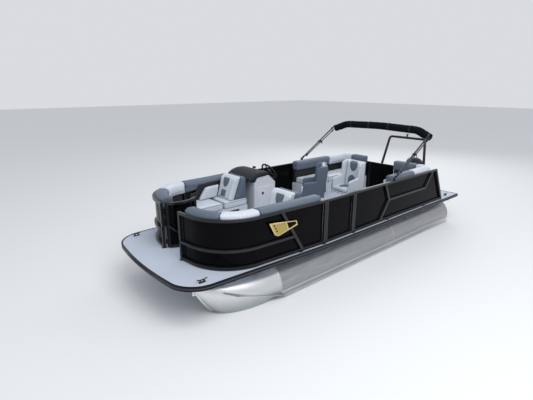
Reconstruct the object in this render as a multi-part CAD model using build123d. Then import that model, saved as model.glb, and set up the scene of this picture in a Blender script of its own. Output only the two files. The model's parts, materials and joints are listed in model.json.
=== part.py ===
from build123d import *
import os
from math import asin, atan2, cos, degrees, radians, sin, sqrt, tan

os.makedirs("parts", exist_ok=True)

# Twin-tube pontoon boat, lengths in millimetres, angles in degrees.
# +X points to the bow, +Y to port, +Z up. While it is drawn, x = 0 is the deck's stern edge
# and z = 0 the floor under the keels; at the end everything moves back by half the length,
# so that the origin lies under the middle of the boat.

# Hull
BEAM = 2590
RUB_THICK = 25
DECK_HALF = BEAM / 2 - RUB_THICK
TUBE_R = 317.5
TUBE_Y = DECK_HALF - 400
TUBE_STERN = 150
TUBE_BOW = 5480
NOSE_LENGTH = 1300
NOSE_RISE = 600
# columns: share of the nose's length, share of its rise at the bottom, share of the tube's half width
NOSE_STATIONS = (
    (0, 0, 1),
    (0.3, 0, 0.97),
    (0.5, 0.024, 0.84),
    (0.66, 0.14, 0.65),
    (0.79, 0.353, 0.44),
    (0.9, 0.648, 0.22),
    (1, 1.03, 0.02),
)
NOSE_ENDS = [(1, 0), (1, 2)]
STEM_OUT = 20
STEM_IN = 14
KEEL_HEIGHT = 20
KEEL_WIDTH = 16
KEEL_SINK = 8
KEEL_START = 40
TUBE_Z = KEEL_HEIGHT + TUBE_R
TUBE_TOP = KEEL_HEIGHT + 2 * TUBE_R
RISER_WIDTH = 90
RISER_SINK = 15
NOSE_RISER_WIDTH = 60
NOSE_RISER_END = TUBE_BOW + 900
STRAKE_OUT = 70
STRAKE_EDGE = 12
STRAKE_SLOPE = 32
STRAKE_Z = 235
STRAKE_SINK = 25
STRAKE_START = 60
STRAKE_SKIN_Y = TUBE_Y + sqrt(TUBE_R ** 2 - (TUBE_Z - STRAKE_Z) ** 2)
STRAKE_TIP_SHARE = 0.7
# columns: distance ahead of the tube's end, rise, how far it runs in toward the middle of the boat
STRAKE_STATIONS = ((2, 0, 0), (800, 240, 135), (950, 300, 260))
BOW_EYE_R = 12
BOW_EYE_X = TUBE_BOW + NOSE_LENGTH + 5
BOW_EYE_Z = 600
BOW_EYE_REACH = 30
BOW_EYE_ROOT = 100

# Deck
DECK_TOP = 835
DECK_THICK = 28
RUB_HEIGHT = 62
RUB_LIP = 3
RUB_GROOVE = 4
RUB_GROOVE_WIDTH = 18
SIDE_GATE_AFT_X = 3889
SIDE_GATE_OPENING = 713
SIDE_GATE_X = (SIDE_GATE_AFT_X, SIDE_GATE_AFT_X + SIDE_GATE_OPENING)
BOW_TAPER_X = SIDE_GATE_X[1]
BOW_TAPER = 2.9
BOW_CORNER_X = 7035
BOW_CORNER_R = 420
BOW_CROWN = 130
BOW_APEX_X = BOW_CORNER_X + BOW_CROWN
BOW_APEX_SHARE = 0.85
NOTCH_DEPTH = 260
NOTCH_HALF = 430
CROSS_HEIGHT = 75
CROSS_WIDTH = 40
CROSS_WALL = 5
CROSS_FIRST = 330
CROSS_PITCH = 600
CROSS_COUNT = 11
CROSS_END = 15
CROSS_FOOT = DECK_TOP - DECK_THICK - CROSS_HEIGHT

# Fence round the deck: square tube rails and posts with sheet panels on the inside
SQUARE = 38
HALF = SQUARE / 2
SLANT_WIDTH = 46
FENCE_HEIGHT = 735
FENCE_Y = DECK_HALF - 45
FENCE_FOOT = 12
FENCE_FRONT_X = 6630
FENCE_FRONT_Y = 286
FENCE_FRONT_LEAN = 7
FENCE_CORNER_R = 720
MID_RAIL = 285
MID_RAIL_AFT_X = 5230
SLANT_TOP_X = 5500
SLANT_FOOT_X = 5090
SLANT_SHORT = 5
PANEL_THICK = 5
PANEL_END = 5
SEAT_SIDE = HALF + PANEL_THICK + 0.3
GATE_SIDE_GAP = 3.5
POST_GAP = 2
CHEVRON_TOP_X = 2985
CHEVRON_KNEE_X = 2830
CHEVRON_FOOT_X = 3080
CHEVRON_KNEE = 390
BRACE_TURN_X = 1480
BRACE_TOP_X = 1230
PANEL_SETBACK = 10
AFT_FOOT_X = 712
AFT_TOP_X = 1084
STERN_FENCE_X = 1065
STERN_FENCE_HEIGHT = 650
STERN_PANEL_INSET = 30
STERN_GATE_Y = (-440, 280)

# Gate hinges: a pin on the post turns in a knuckle on the gate
KNUCKLE_R = 13
KNUCKLE_HEIGHT = 50
KNUCKLE_LEVELS = (110, 520)
KNUCKLE_ARM_X = (4, 20)
KNUCKLE_SINK = 2
EAR_HEIGHT = 20
EAR_GAP = 1
HINGE_PIN_R = 6
HINGE_OFFSET = HALF + PANEL_THICK + KNUCKLE_R + 1
RUNNING = 0.05
GATE_CLEAR = 40
BOW_GATE_BULGE = 85
BRACE_HIGH = 360
BRACE_RUN = 0.75
BRACE_WIDTH = 30
BRACE_THICK = 26

# Seats, with heights above the deck
SEAT_BASE = 300
CUSHION = 130
SEAT_TOP = SEAT_BASE + CUSHION
BOLSTER_TOP = 800
BOLSTER_HEIGHT = 215
BOLSTER_WIDTH = 205
BOLSTER_ROUND = 55
BAND_THICK = 110
SOFT_GAP = 0.3
AISLE_Y = FENCE_Y - 765
BOW_SEAT_AFT_X = {"port": SIDE_GATE_X[1] + 63, "starboard": SIDE_GATE_X[1] + 233}
BOW_SEAM_AT = (5880, AISLE_Y - 10)
BOW_SEAM_TURNS = (43, 93)
BOW_BACK_END = 60
AFT_SEAM_X = 1900
AFT_SEAM_Y = FENCE_Y - 375
CHAISE_FOOT_X = 5240
CHAISE_DEPTH = 400
CHAISE_TOP = 860
# columns: distance aft of the front foot, distance below the top
CHAISE_SIDE = ((135, 60), (195, 0), (CHAISE_DEPTH - 40, 15), (CHAISE_DEPTH, 75))
CHAISE_Y = (AISLE_Y + 15, FENCE_Y - SEAT_SIDE - BOLSTER_WIDTH - 55)
CHAISE_ROUND = 30
AFT_SEAT_X = {"port": 2650, "starboard": 3000}
AFT_SEAT_END_Y = {"port": 320, "starboard": 470}
AFT_SEAT_DEPTH = 600
AFT_CORNER_R = 165
BASE_INSET = 60
TOE_ROOM = 25

# Helm and chairs
PEDESTAL_HEIGHT = 330
PEDESTAL_R = 38
PEDESTAL_PLATE = (160, 12)
PEDESTAL_SOCKET = (75, 60)
CONSOLE_X = (4190, 4710)
CONSOLE_Y = (60 - FENCE_Y, 815 - FENCE_Y)
CONSOLE_TOP = ((CONSOLE_X[1], 690), (CONSOLE_X[1] - 70, 780), (CONSOLE_X[1] - 330, 800))
CONSOLE_REAR_TOP = 640
CONSOLE_ROUND = 40
COWL_FRONT = 110
COWL_RISE = 75
COWL_END = 10
COWL_ROUND = 25
WHEEL_RAKE = 33
WHEEL_R = 175
WHEEL_RIM_R = 15
WHEEL_SHAFT_R = 14
WHEEL_REACH = 165
WHEEL_FOOT = (CONSOLE_X[0] + 75, CONSOLE_Y[1] - 277, 705)
WHEEL_BOSS_R = 42
WHEEL_BOSS_HEIGHT = 50
WHEEL_BORE_DEPTH = 80
# columns: distance from the shaft, distance behind the rim, width, thickness
SPOKE_SECTIONS = ((25, 18, 38, 12), (WHEEL_R, 2, 22, 9))
SPOKE_TURNS = (30, 150, 270)
CHAIR_WIDTH = 480
CHAIR_LENGTH = 535
CHAIR_ROUND = 75
CHAIR_SIDE = 48
CHAIR_SEAT_TOP = 510
CHAIR_SEAT_X = (-120, 238)
CHAIR_SEAT_ROUND = 40
CHAIR_PAN = 35
CHAIR_SWIVEL = (110, 50)
CHAIR_PAN_FOOT = PEDESTAL_HEIGHT + SOFT_GAP + CHAIR_SWIVEL[1]
CHAIR_SEAT_FOOT = CHAIR_PAN_FOOT + CHAIR_PAN + SOFT_GAP
# columns: x ahead of the pedestal, height above the deck
CHAIR_WING = (
    (-215, CHAIR_PAN_FOOT),
    (-285, 940),
    (-262, 1000),
    (-130, 990),
    (-72, 940),
    (-45, 700),
    (165, 662),
    (200, 628),
    (190, 590),
    (215, CHAIR_PAN_FOOT),
)
CHAIR_BACK = ((-215, CHAIR_PAN_FOOT), (-285, 940), (-262, 1000), (-232, 1000), (-165, CHAIR_PAN_FOOT))
CHAIR_REST = (
    (-121, CHAIR_SEAT_FOOT),
    (-121, 540),
    (-175, 970),
    (-232 + SOFT_GAP, 1015),
    (-169 + SOFT_GAP, CHAIR_SEAT_FOOT),
)

# Canopy, its legs' pivots, height above the deck
CANOPY_X = 2650
CANOPY_PIN_Z = 805
CANOPY_PIN_R = 5
CANOPY_TUBE_R = 16
CANOPY_EYE = (20, 32)
SECOND_TUBE_R = 11
# columns: distance aft of the main leg's end, height above it
SECOND_FOOT = (145, 45)
SECOND_TOP = (20, -65)
# columns: distance aft of the pin, height above it
SECOND_LINK = ((130, 80), (150, 37))
SECOND_LINK_R = 12
CLAMP_HALF = 35
CLAMP_WIDTH = 48
CLAMP_HEIGHT = 28
CLAMP_EAR = (16, 6)
CANOPY_LEG_TOP = (CANOPY_X - 1130, FENCE_Y - 15, 1500)
BOOT_R = 84
BOOT_CROWN = 1575
BOOT_END = (CANOPY_X - 1150, FENCE_Y - 5, 1420)
BOOT_KNEE = (CANOPY_X - 1210, FENCE_Y - 305, 1545)
BOOT_CROWN_X = BOOT_KNEE[0] + 10
BOOT_BENDS = [400, 6000, 400]

# Tow bar, an arch of one tube across the stern
TOW_BAR_R = 30
TOW_BAR_BEND = 75
TOW_BAR_FOOT = (410, DECK_HALF - 630)
TOW_BAR_TOP = (220, DECK_HALF - 805, 1200)
TOW_BAR_PLATE = (65, 10)
TOW_BAR_SOCKET = (46, 45)
TOW_KNOB = (20, 50)
TOW_KNOB_CAP = (34, 12)

# Boarding ladder, folded flat on the stern deck about a pin at the deck's edge
LADDER_Y = 380 - DECK_HALF
LADDER_HALF = 190
LADDER_PIN = (-62, LADDER_Y, DECK_TOP + 32)
LADDER_LENGTH = 600
LADDER_RAIL_R = 14
LADDER_EYE_R = 19
LADDER_PIN_R = 8
LADDER_PIN_LENGTH = 46
LADDER_CHEEK_Y = 25
LADDER_CHEEK_THICK = 12
# columns: x from and to, z from and to, about the hinge
LADDER_CHEEK = ((-20, 150, -28, 20), (75, 150, -32, -28))
LADDER_TREADS = (110, 340, 580)
TREAD_WIDTH = 70
TREAD_THICK = 22

# Horn cleats
CLEAT_LENGTH = 150
CLEAT_HEIGHT = 48
CLEAT_R = 8
CLEAT_DIP = 12
CLEAT_FOOT = (110, 36, 6)
CLEAT_LEG_X = 30
CLEAT_X = (6760, 330)
CLEAT_INBOARD = 110

# Outboard motor, drawn upright about its tilt pin and then tilted up
MOTOR_PIN = (-345, 0, 760)
MOTOR_TILT = 50
MOTOR_PIN_R = 12.5
TRANSOM_AHEAD = 45
TRANSOM_X = MOTOR_PIN[0] + TRANSOM_AHEAD
POD_HALF = 280
# columns: x, height above the floor
POD_SIDE = (
    (TRANSOM_X, 715),
    (0, CROSS_FOOT),
    (1100, CROSS_FOOT),
    (1100, 600),
    (500, 330),
    (TRANSOM_X, 250),
)
KINGPIN_X = -75
KINGPIN_R = 20
KINGPIN_Z = (-345, 95)
BRACKET_HALF = 150
BRACKET_Z = (-330, -45)
BRACKET_BACK = -15
BRACKET_EAR_Y = 110
BRACKET_EAR_THICK = 24
# columns: x, z about the tilt pin
BRACKET_EAR = ((TRANSOM_AHEAD, -50), (-10, -90), (-28, -12), (-28, 22), (22, 28), (TRANSOM_AHEAD, 5))
SWIVEL_HUB = (27, 180)
SWIVEL_TUBE_R = 38
SWIVEL_TUBE_Z = (-300, 55)
SWIVEL_WEB = (-10, 30, -36, 20)
LEG_TOP = 118
LEG_X = -228
# columns: height, width
LEG_SECTIONS = ((-380, 130), (-150, 150), (LEG_TOP, 175))
LEG_LENGTH = 204
LEG_ROUND = 55
# columns: how far ahead of the kingpin, half width, z from and to
KINGPIN_YOKES = ((40, 60, 61, LEG_TOP), (28, 42, -350, -306))
# columns: x, z, length, width
STRUT_SECTIONS = ((LEG_X, -379, 200, 124), (-235, -555, 185, 78), (-242, -745, 160, 52))
PLATE_Z = -560
PLATE_THICKNESS = 13
# columns: x, half width
PLATE_SIDE = ((-480, 75), (-440, 108), (-300, 108), (-110, 45))
PROP_SHAFT_Z = -765
PROP_SHAFT_R = 12
PROP_SHAFT_LENGTH = 120
PROP_X = -460
PROP_HUB_R = 46
PROP_HUB_LENGTH = 100
BULLET_X = (-405, -55)
# columns: x, radius
BULLET_SKIN = ((BULLET_X[1], 0), (-90, 30), (-170, 53), (-290, 54), (BULLET_X[0], PROP_HUB_R - 2))
# columns: x, z
SKEG_SIDE = ((-345, -775), (-185, -775), (-250, -880), (-305, -962), (-350, -962))
SKEG_HALF = 6
# columns: height above the tilt pin, middle in x, length, width, corner radius
COWL_SECTIONS = (
    (LEG_TOP + 0.3, -212, 520, 270, 100),
    (210, -225, 625, 370, 130),
    (430, -230, 640, 385, 140),
    (560, -218, 560, 320, 130),
    (612, -200, 380, 200, 90),
)
# columns: distance from the shaft, half chord, half thickness, pitch angle
BLADE_SECTIONS = ((34, 50, 7, 62), (85, 62, 6, 44), (135, 58, 4.5, 33), (178, 30, 2, 27))

pieces = {}


def on_deck(height):
    """Height above the deck turned into height above the floor."""
    return DECK_TOP + height


def block(x0, x1, y0, y1, z0, z1):
    """Box between three pairs of limits."""
    return Pos((x0 + x1) / 2, (y0 + y1) / 2, (z0 + z1) / 2) * Box(x1 - x0, y1 - y0, z1 - z0)


def upright(radius, height):
    """Round bar that stands on its own zero height."""
    return Cylinder(radius, height, align=(Align.CENTER, Align.CENTER, Align.MIN))


def mirrored(shape):
    """The same piece on the other side of the boat."""
    return mirror(shape, about=Plane.XZ)


def rod(start, end, radius):
    """Round bar from one point to another."""
    run = Vector(*end) - Vector(*start)
    return extrude(Plane(origin=start, z_dir=run) * Circle(radius), run.length)


def bent_tube(points, bend, radius):
    """Round tube along straight runs joined by arcs."""
    path = FilletPolyline(*points, radius=bend)
    return sweep(Plane(origin=path @ 0, z_dir=path % 0) * Circle(radius), path=path)


def bar(x0, z0, x1, z1, width):
    """Side view of a straight tube, with half its width past both ends."""
    run = Vector(x1 - x0, z1 - z0)
    turn = Rot(0, 0, degrees(atan2(run.Y, run.X)))
    return Pos((x0 + x1) / 2, (z0 + z1) / 2) * turn * Rectangle(run.length + width, width)


def side_extrude(outline, y, thick):
    """Outline drawn in x and z, made thick about the plane at y."""
    plane = Plane(origin=(0, y, 0), x_dir=(1, 0, 0), z_dir=(0, -1, 0))
    return extrude(plane * outline, thick / 2, both=True)


def side_prism(points, y0, y1):
    """Solid between two y limits from the corners of its side view."""
    outline = make_face(Polyline(*points, close=True))
    return side_extrude(outline, (y0 + y1) / 2, y1 - y0)


def plan_extrude(outline, z0, z1):
    """Outline drawn in x and y, between two heights."""
    return extrude(Pos(0, 0, z0) * outline, z1 - z0)


def along(path, profile, z):
    """Sweep a profile, drawn across and up, along a plan path at a height."""
    lifted = Pos(0, 0, z) * path
    start = Plane(origin=lifted @ 0, x_dir=(0, 0, 1), z_dir=lifted % 0)
    return sweep(start * Rot(0, 0, 90) * profile, path=lifted)


def deck_edge_y(x):
    """Half width of the deck at a place along it, aft of the bow corners."""
    return DECK_HALF - max(0, x - BOW_TAPER_X) * tan(radians(BOW_TAPER))


def deck_outline(margin):
    """Plan of the deck, grown outward by a margin."""
    half = DECK_HALF + margin
    corner_x = BOW_CORNER_X + margin
    corner_y = deck_edge_y(BOW_CORNER_X) + margin
    notch_x = NOTCH_DEPTH - margin
    notch_half = NOTCH_HALF - margin
    # the crowned front takes the share of the front line that the corners leave
    front_turn = atan2(BOW_CROWN, corner_y)
    corner_reach = (BOW_CORNER_R + margin) * tan((radians(90 - BOW_TAPER) - front_turn) / 2)
    front_length = sqrt(BOW_CROWN ** 2 + corner_y ** 2)
    apex_r = BOW_APEX_SHARE * (front_length - corner_reach) / tan(front_turn)
    bow = FilletPolyline(
        (BOW_TAPER_X, -half),
        (corner_x, -corner_y),
        (BOW_APEX_X + margin, 0),
        (corner_x, corner_y),
        (BOW_TAPER_X, half),
        radius=[BOW_CORNER_R + margin, apex_r, BOW_CORNER_R + margin],
    )
    stern = Polyline(
        (BOW_TAPER_X, half),
        (-margin, half),
        (-margin, notch_half),
        (notch_x, notch_half),
        (notch_x, -notch_half),
        (-margin, -notch_half),
        (-margin, -half),
        (BOW_TAPER_X, -half),
    )
    return make_face([bow, stern])


def fence_path(inset, front_y, aft_x):
    """Plan of the fence from aft_x round the port bow corner to front_y, moved inboard by inset.

    Its side line runs in at the deck's taper, and its front line leans back from the opening.
    """
    side_slope = tan(radians(BOW_TAPER))
    front_slope = tan(radians(FENCE_FRONT_LEAN))
    side_y = FENCE_Y + BOW_TAPER_X * side_slope - inset / cos(radians(BOW_TAPER))
    front_x = FENCE_FRONT_X + FENCE_FRONT_Y * front_slope - inset / cos(radians(FENCE_FRONT_LEAN))
    corner_x = (front_x - side_y * front_slope) / (1 - side_slope * front_slope)
    corner_y = side_y - corner_x * side_slope
    points = [
        (aft_x, side_y - aft_x * side_slope),
        (corner_x, corner_y),
        (front_x - front_y * front_slope, front_y),
    ]
    return FilletPolyline(*points, radius=FENCE_CORNER_R - inset)


def nose_bottom(depth):
    """Side view line of the bottom of a nose, moved outward by a depth."""
    points = [(TUBE_BOW + NOSE_LENGTH * ahead, KEEL_HEIGHT + NOSE_RISE * rise)
              for ahead, rise, width in NOSE_STATIONS]
    line = Spline(*points, tangents=NOSE_ENDS)
    if not depth:
        return line
    moved = []
    for number in range(9):
        run = line % (number / 8)
        moved.append((line @ (number / 8)) + Vector(run.Y, -run.X) * depth)
    return Spline(*moved, tangents=NOSE_ENDS)


def nose_stem():
    """Bar along the bottom of a nose, in side view."""
    outer = nose_bottom(STEM_OUT)
    inner = nose_bottom(-STEM_IN)
    return make_face([outer, Line(outer @ 1, inner @ 1), inner, Line(inner @ 0, outer @ 0)])


def strake_section(ahead, rise, inward):
    """Spray strake across the hull: its top face slopes down and out to a thin edge."""
    root_y = STRAKE_SKIN_Y - STRAKE_SINK - inward
    tip_y = STRAKE_SKIN_Y + STRAKE_OUT - STRAKE_TIP_SHARE * inward
    low = STRAKE_Z - STRAKE_EDGE / 2
    high = low + STRAKE_EDGE
    place = Plane(origin=(TUBE_BOW + ahead, 0, rise), x_dir=(0, 1, 0), z_dir=(1, 0, 0))
    corners = [(root_y, low), (tip_y, low), (tip_y, high), (root_y, high + STRAKE_SLOPE)]
    return place * make_face(Polyline(*corners, close=True))


def pontoon_tube():
    length = TUBE_BOW - TUBE_STERN
    tube = Pos(TUBE_STERN + length / 2, TUBE_Y, TUBE_Z) * Rot(0, 90, 0) * Cylinder(TUBE_R, length)
    keel = block(TUBE_STERN + KEEL_START, TUBE_BOW, TUBE_Y - KEEL_WIDTH / 2, TUBE_Y + KEEL_WIDTH / 2,
                 0, KEEL_HEIGHT + KEEL_SINK)
    strake = extrude(strake_section(0, 0, 0), length - STRAKE_START, dir=(-1, 0, 0))
    riser = block(TUBE_STERN, TUBE_BOW, TUBE_Y - RISER_WIDTH / 2, TUBE_Y + RISER_WIDTH / 2,
                  TUBE_TOP - RISER_SINK, CROSS_FOOT)
    return tube + keel + strake + riser


def pontoon_nose():
    sections = []
    for ahead, rise, width in NOSE_STATIONS:
        bottom = KEEL_HEIGHT + NOSE_RISE * rise
        place = Plane(
            origin=(TUBE_BOW + NOSE_LENGTH * ahead, TUBE_Y, (TUBE_TOP + bottom) / 2),
            x_dir=(0, 1, 0),
            z_dir=(1, 0, 0),
        )
        sections.append(place * Ellipse(TUBE_R * width, (TUBE_TOP - bottom) / 2))
    stem = side_extrude(nose_stem(), TUBE_Y, KEEL_WIDTH)
    lug = block(BOW_EYE_X - BOW_EYE_ROOT, BOW_EYE_X + BOW_EYE_REACH,
                TUBE_Y - KEEL_WIDTH / 2, TUBE_Y + KEEL_WIDTH / 2,
                BOW_EYE_Z - BOW_EYE_REACH, BOW_EYE_Z + BOW_EYE_REACH)
    eye = Pos(BOW_EYE_X, TUBE_Y, BOW_EYE_Z) * Rot(90, 0, 0) * Cylinder(BOW_EYE_R, 3 * KEEL_WIDTH)
    strake = loft([strake_section(*station) for station in STRAKE_STATIONS], ruled=True)
    riser = block(TUBE_BOW, NOSE_RISER_END, TUBE_Y - NOSE_RISER_WIDTH / 2, TUBE_Y + NOSE_RISER_WIDTH / 2,
                  TUBE_TOP - RISER_SINK, CROSS_FOOT)
    return loft(sections) + stem + lug + riser + strake - eye


def crossmembers():
    """Channels across both tubes under the deck, open toward the stern."""
    top = DECK_TOP - DECK_THICK
    bars = []
    for number in range(CROSS_COUNT):
        x = CROSS_FIRST + number * CROSS_PITCH
        half = deck_edge_y(x) - CROSS_END
        web = x + CROSS_WIDTH / 2
        profile = [
            (web - CROSS_WIDTH, CROSS_FOOT),
            (web, CROSS_FOOT),
            (web, top),
            (web - CROSS_WIDTH, top),
            (web - CROSS_WIDTH, top - CROSS_WALL),
            (web - CROSS_WALL, top - CROSS_WALL),
            (web - CROSS_WALL, CROSS_FOOT + CROSS_WALL),
            (web - CROSS_WIDTH, CROSS_FOOT + CROSS_WALL),
        ]
        bars.append(side_prism(profile, -half, half))
    return bars


def motor_pod():
    """Box between the tubes that ends in the transom for the motor."""
    return side_prism(POD_SIDE, -POD_HALF, POD_HALF)


def fence_bow(aft_x):
    """Frame and panel from aft_x round the port bow corner to the bow opening."""
    square = Rectangle(SQUARE, SQUARE)
    path = fence_path(0, FENCE_FRONT_Y, aft_x)
    curved = fence_path(0, FENCE_FRONT_Y, MID_RAIL_AFT_X)
    frame = along(path, square, on_deck(FENCE_HEIGHT - HALF))
    frame += along(path, square, on_deck(FENCE_FOOT + HALF))
    frame += along(curved, square, on_deck(MID_RAIL))
    post = Box(SQUARE, SQUARE, FENCE_HEIGHT, align=(Align.CENTER, Align.CENTER, Align.MIN))
    aft_end = path @ 0
    front_end = path @ 1
    frame += Pos(aft_end.X + HALF, aft_end.Y, DECK_TOP) * Rot(0, 0, -BOW_TAPER) * post
    frame += Pos(front_end.X, front_end.Y, DECK_TOP) * Rot(0, 0, FENCE_FRONT_LEAN) * post
    middle_x = (SLANT_TOP_X + SLANT_FOOT_X) / 2
    middle_y = FENCE_Y - (middle_x - BOW_TAPER_X) * tan(radians(BOW_TAPER))
    slanted = bar(SLANT_TOP_X - middle_x, on_deck(FENCE_HEIGHT - HALF - SLANT_SHORT),
                  SLANT_FOOT_X - middle_x, on_deck(FENCE_FOOT + HALF + SLANT_SHORT), SLANT_WIDTH)
    slanted &= Pos(0, on_deck((FENCE_FOOT + FENCE_HEIGHT) / 2)) * Rectangle(
        BEAM, FENCE_HEIGHT - FENCE_FOOT)
    frame += Pos(middle_x, middle_y, 0) * Rot(0, 0, -BOW_TAPER) * side_extrude(slanted, 0, SQUARE)
    back = fence_path(HALF + PANEL_THICK / 2, FENCE_FRONT_Y + HALF + PANEL_END, aft_x + SQUARE)
    sheet = Rectangle(PANEL_THICK, FENCE_HEIGHT - FENCE_FOOT - 2 * PANEL_SETBACK)
    panel = along(back, sheet, on_deck((FENCE_HEIGHT + FENCE_FOOT) / 2))
    return frame, panel


def fence_aft(forward_x):
    """Straight side fence aft of forward_x, with its chevron, brace and raked end, port side."""
    top = on_deck(FENCE_HEIGHT - HALF)
    foot = on_deck(FENCE_FOOT + HALF)
    knee = on_deck(CHEVRON_KNEE)
    # columns: x and z of one end, x and z of the other end, width
    bars = [
        (forward_x - HALF, foot, AFT_FOOT_X, foot, SQUARE),
        (forward_x - HALF, top, AFT_TOP_X, top, SQUARE),
        (forward_x - HALF, foot, forward_x - HALF, top, SQUARE),
        (AFT_FOOT_X, foot, AFT_TOP_X, top, SLANT_WIDTH),
        (CHEVRON_TOP_X, top, CHEVRON_KNEE_X, knee, SLANT_WIDTH),
        (CHEVRON_KNEE_X, knee, CHEVRON_FOOT_X, foot, SLANT_WIDTH),
        (CHEVRON_KNEE_X, knee, BRACE_TURN_X, knee, SQUARE),
        (BRACE_TURN_X, knee, BRACE_TOP_X, top, SQUARE),
    ]
    outline = Sketch()
    for x0, z0, x1, z1, width in bars:
        outline += bar(x0, z0, x1, z1, width)
    rail_band = Pos((forward_x + AFT_FOOT_X) / 2, on_deck((FENCE_FOOT + FENCE_HEIGHT) / 2))
    outline &= rail_band * Rectangle(forward_x - AFT_FOOT_X + 2 * SQUARE, FENCE_HEIGHT - FENCE_FOOT)
    low = on_deck(FENCE_FOOT + PANEL_SETBACK)
    high = on_deck(FENCE_HEIGHT - PANEL_SETBACK)
    sheet = [
        (forward_x - PANEL_SETBACK, low),
        (forward_x - PANEL_SETBACK, high),
        (AFT_TOP_X, high),
        (AFT_FOOT_X, low),
    ]
    inner_face = FENCE_Y - HALF
    frame = side_extrude(outline, FENCE_Y, SQUARE)
    for x in (forward_x - HALF, CHEVRON_KNEE_X, BRACE_TURN_X, AFT_FOOT_X + HALF):
        frame += block(x - HALF, x + HALF, FENCE_Y - HALF, FENCE_Y + HALF, DECK_TOP, foot)
    return frame, side_prism(sheet, inner_face - PANEL_THICK, inner_face)


def fence_stern(y0, y1):
    """Frame and panel across the stern between two y limits, on one side of the stern gate."""
    width = y1 - y0
    height = STERN_FENCE_HEIGHT
    frame = Sketch()
    # columns: x and z of one end, x and z of the other end
    bars = [
        (HALF, HALF, HALF, height - HALF),
        (width - HALF, HALF, width - HALF, height - HALF),
        (HALF, HALF + FENCE_FOOT, width - HALF, HALF + FENCE_FOOT),
        (HALF, height - HALF, width - HALF, height - HALF),
    ]
    for x0, z0, x1, z1 in bars:
        frame += bar(x0, z0, x1, z1, SQUARE)
    sheet = Pos(width / 2, (height + FENCE_FOOT) / 2) * Rectangle(
        width - 2 * STERN_PANEL_INSET, height - FENCE_FOOT - 2 * PANEL_SETBACK)
    place = Pos(STERN_FENCE_X, y0, DECK_TOP) * Rot(0, 0, 90)
    return (place * side_extrude(frame, 0, SQUARE),
            place * side_extrude(sheet, -HALF - PANEL_THICK / 2, PANEL_THICK))


def gate_line(near, far, bulge, inset):
    """Plan line of a gate between its end posts, bulging outward, moved inboard by inset."""
    if not bulge:
        return Line((near, inset - HINGE_OFFSET), (far, inset - HINGE_OFFSET))
    half = (far - near) / 2
    radius = (half ** 2 + bulge ** 2) / (2 * bulge)
    reach = degrees(asin(half / radius))
    centre = ((near + far) / 2, radius - bulge - HINGE_OFFSET)
    return CenterArc(centre, radius - inset, -90 - reach, 2 * reach)


def gate(width, height, bulge):
    """Gate about its hinge line: it runs along +x, and stands off the hinge by HINGE_OFFSET in -y."""
    near = GATE_SIDE_GAP + HALF
    far = GATE_SIDE_GAP + width - HALF
    line = gate_line(near, far, bulge, 0)
    low = FENCE_FOOT + HALF
    square = Rectangle(SQUARE, SQUARE)
    frame = along(line, square, low) + along(line, square, height - HALF)
    for x in (near, far):
        frame += block(x - HALF, x + HALF, -HINGE_OFFSET - HALF, -HINGE_OFFSET + HALF,
                       FENCE_FOOT, height)
    if bulge:
        shell = along(line, Rectangle(BRACE_THICK, height - 2 * SQUARE), height / 2)
        brace = bar(near, BRACE_HIGH, near + BRACE_RUN * (far - near), low, BRACE_WIDTH)
        frame += shell & side_extrude(brace, -HINGE_OFFSET - bulge / 2, 3 * bulge)
    for level in KNUCKLE_LEVELS:
        knuckle = Cylinder(KNUCKLE_R, KNUCKLE_HEIGHT)
        knuckle += block(*KNUCKLE_ARM_X, -HINGE_OFFSET + HALF - KNUCKLE_SINK, 0,
                         -KNUCKLE_HEIGHT / 2, KNUCKLE_HEIGHT / 2)
        knuckle -= Cylinder(HINGE_PIN_R + RUNNING, 2 * KNUCKLE_HEIGHT)
        frame += Pos(0, 0, level) * knuckle
    sheet = Rectangle(PANEL_THICK, height - FENCE_FOOT - 2 * PANEL_SETBACK)
    panel = along(gate_line(near, far, bulge, HALF + PANEL_THICK / 2), sheet, (height + FENCE_FOOT) / 2)
    behind = (-HINGE_OFFSET - SQUARE, GATE_CLEAR, 0, height)
    panel -= block(-GATE_CLEAR, near + HALF + PANEL_END, *behind)
    panel -= block(far - HALF - POST_GAP, far + GATE_CLEAR, *behind)
    return frame, panel


def hinge_ears():
    """Fixed half of a gate's hinges, about the same hinge line, reaching the post in -x."""
    ears = []
    for level in KNUCKLE_LEVELS:
        foot = level - KNUCKLE_HEIGHT / 2 - EAR_GAP - EAR_HEIGHT
        ear = upright(KNUCKLE_R, EAR_HEIGHT) + upright(HINGE_PIN_R, EAR_HEIGHT + EAR_GAP + KNUCKLE_HEIGHT)
        ear += block(-KNUCKLE_ARM_X[1], -KNUCKLE_ARM_X[0], -HINGE_OFFSET + HALF - KNUCKLE_SINK, 0,
                     0, EAR_HEIGHT)
        ears.append(Pos(0, 0, foot) * ear)
    return ears


def bow_seat_plan(side, inset, inner_y):
    """Plan of a bow seat, port side: the fence line outside, a straight aisle edge inside."""
    aft_x = BOW_SEAT_AFT_X[side]
    outer = fence_path(inset, inner_y, aft_x)
    inner = Polyline(outer @ 1, (aft_x, inner_y), outer @ 0)
    return make_face([outer, inner])


def bow_back_sections(side, inset, profile, z):
    """Back cushions along the bow fence in three lengths, cut at their seams."""
    path = fence_path(inset, FENCE_FRONT_Y + BOW_BACK_END, BOW_SEAT_AFT_X[side])
    parts = []
    rest = along(path, profile, z)
    for turn in BOW_SEAM_TURNS:
        across = Plane(origin=(*BOW_SEAM_AT, 0), z_dir=(-sin(radians(turn)), cos(radians(turn)), 0))
        parts.append(split(rest, bisect_by=across.offset(-SOFT_GAP / 2), keep=Keep.BOTTOM))
        rest = split(rest, bisect_by=across.offset(SOFT_GAP / 2), keep=Keep.TOP)
    parts.append(rest)
    return parts


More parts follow.
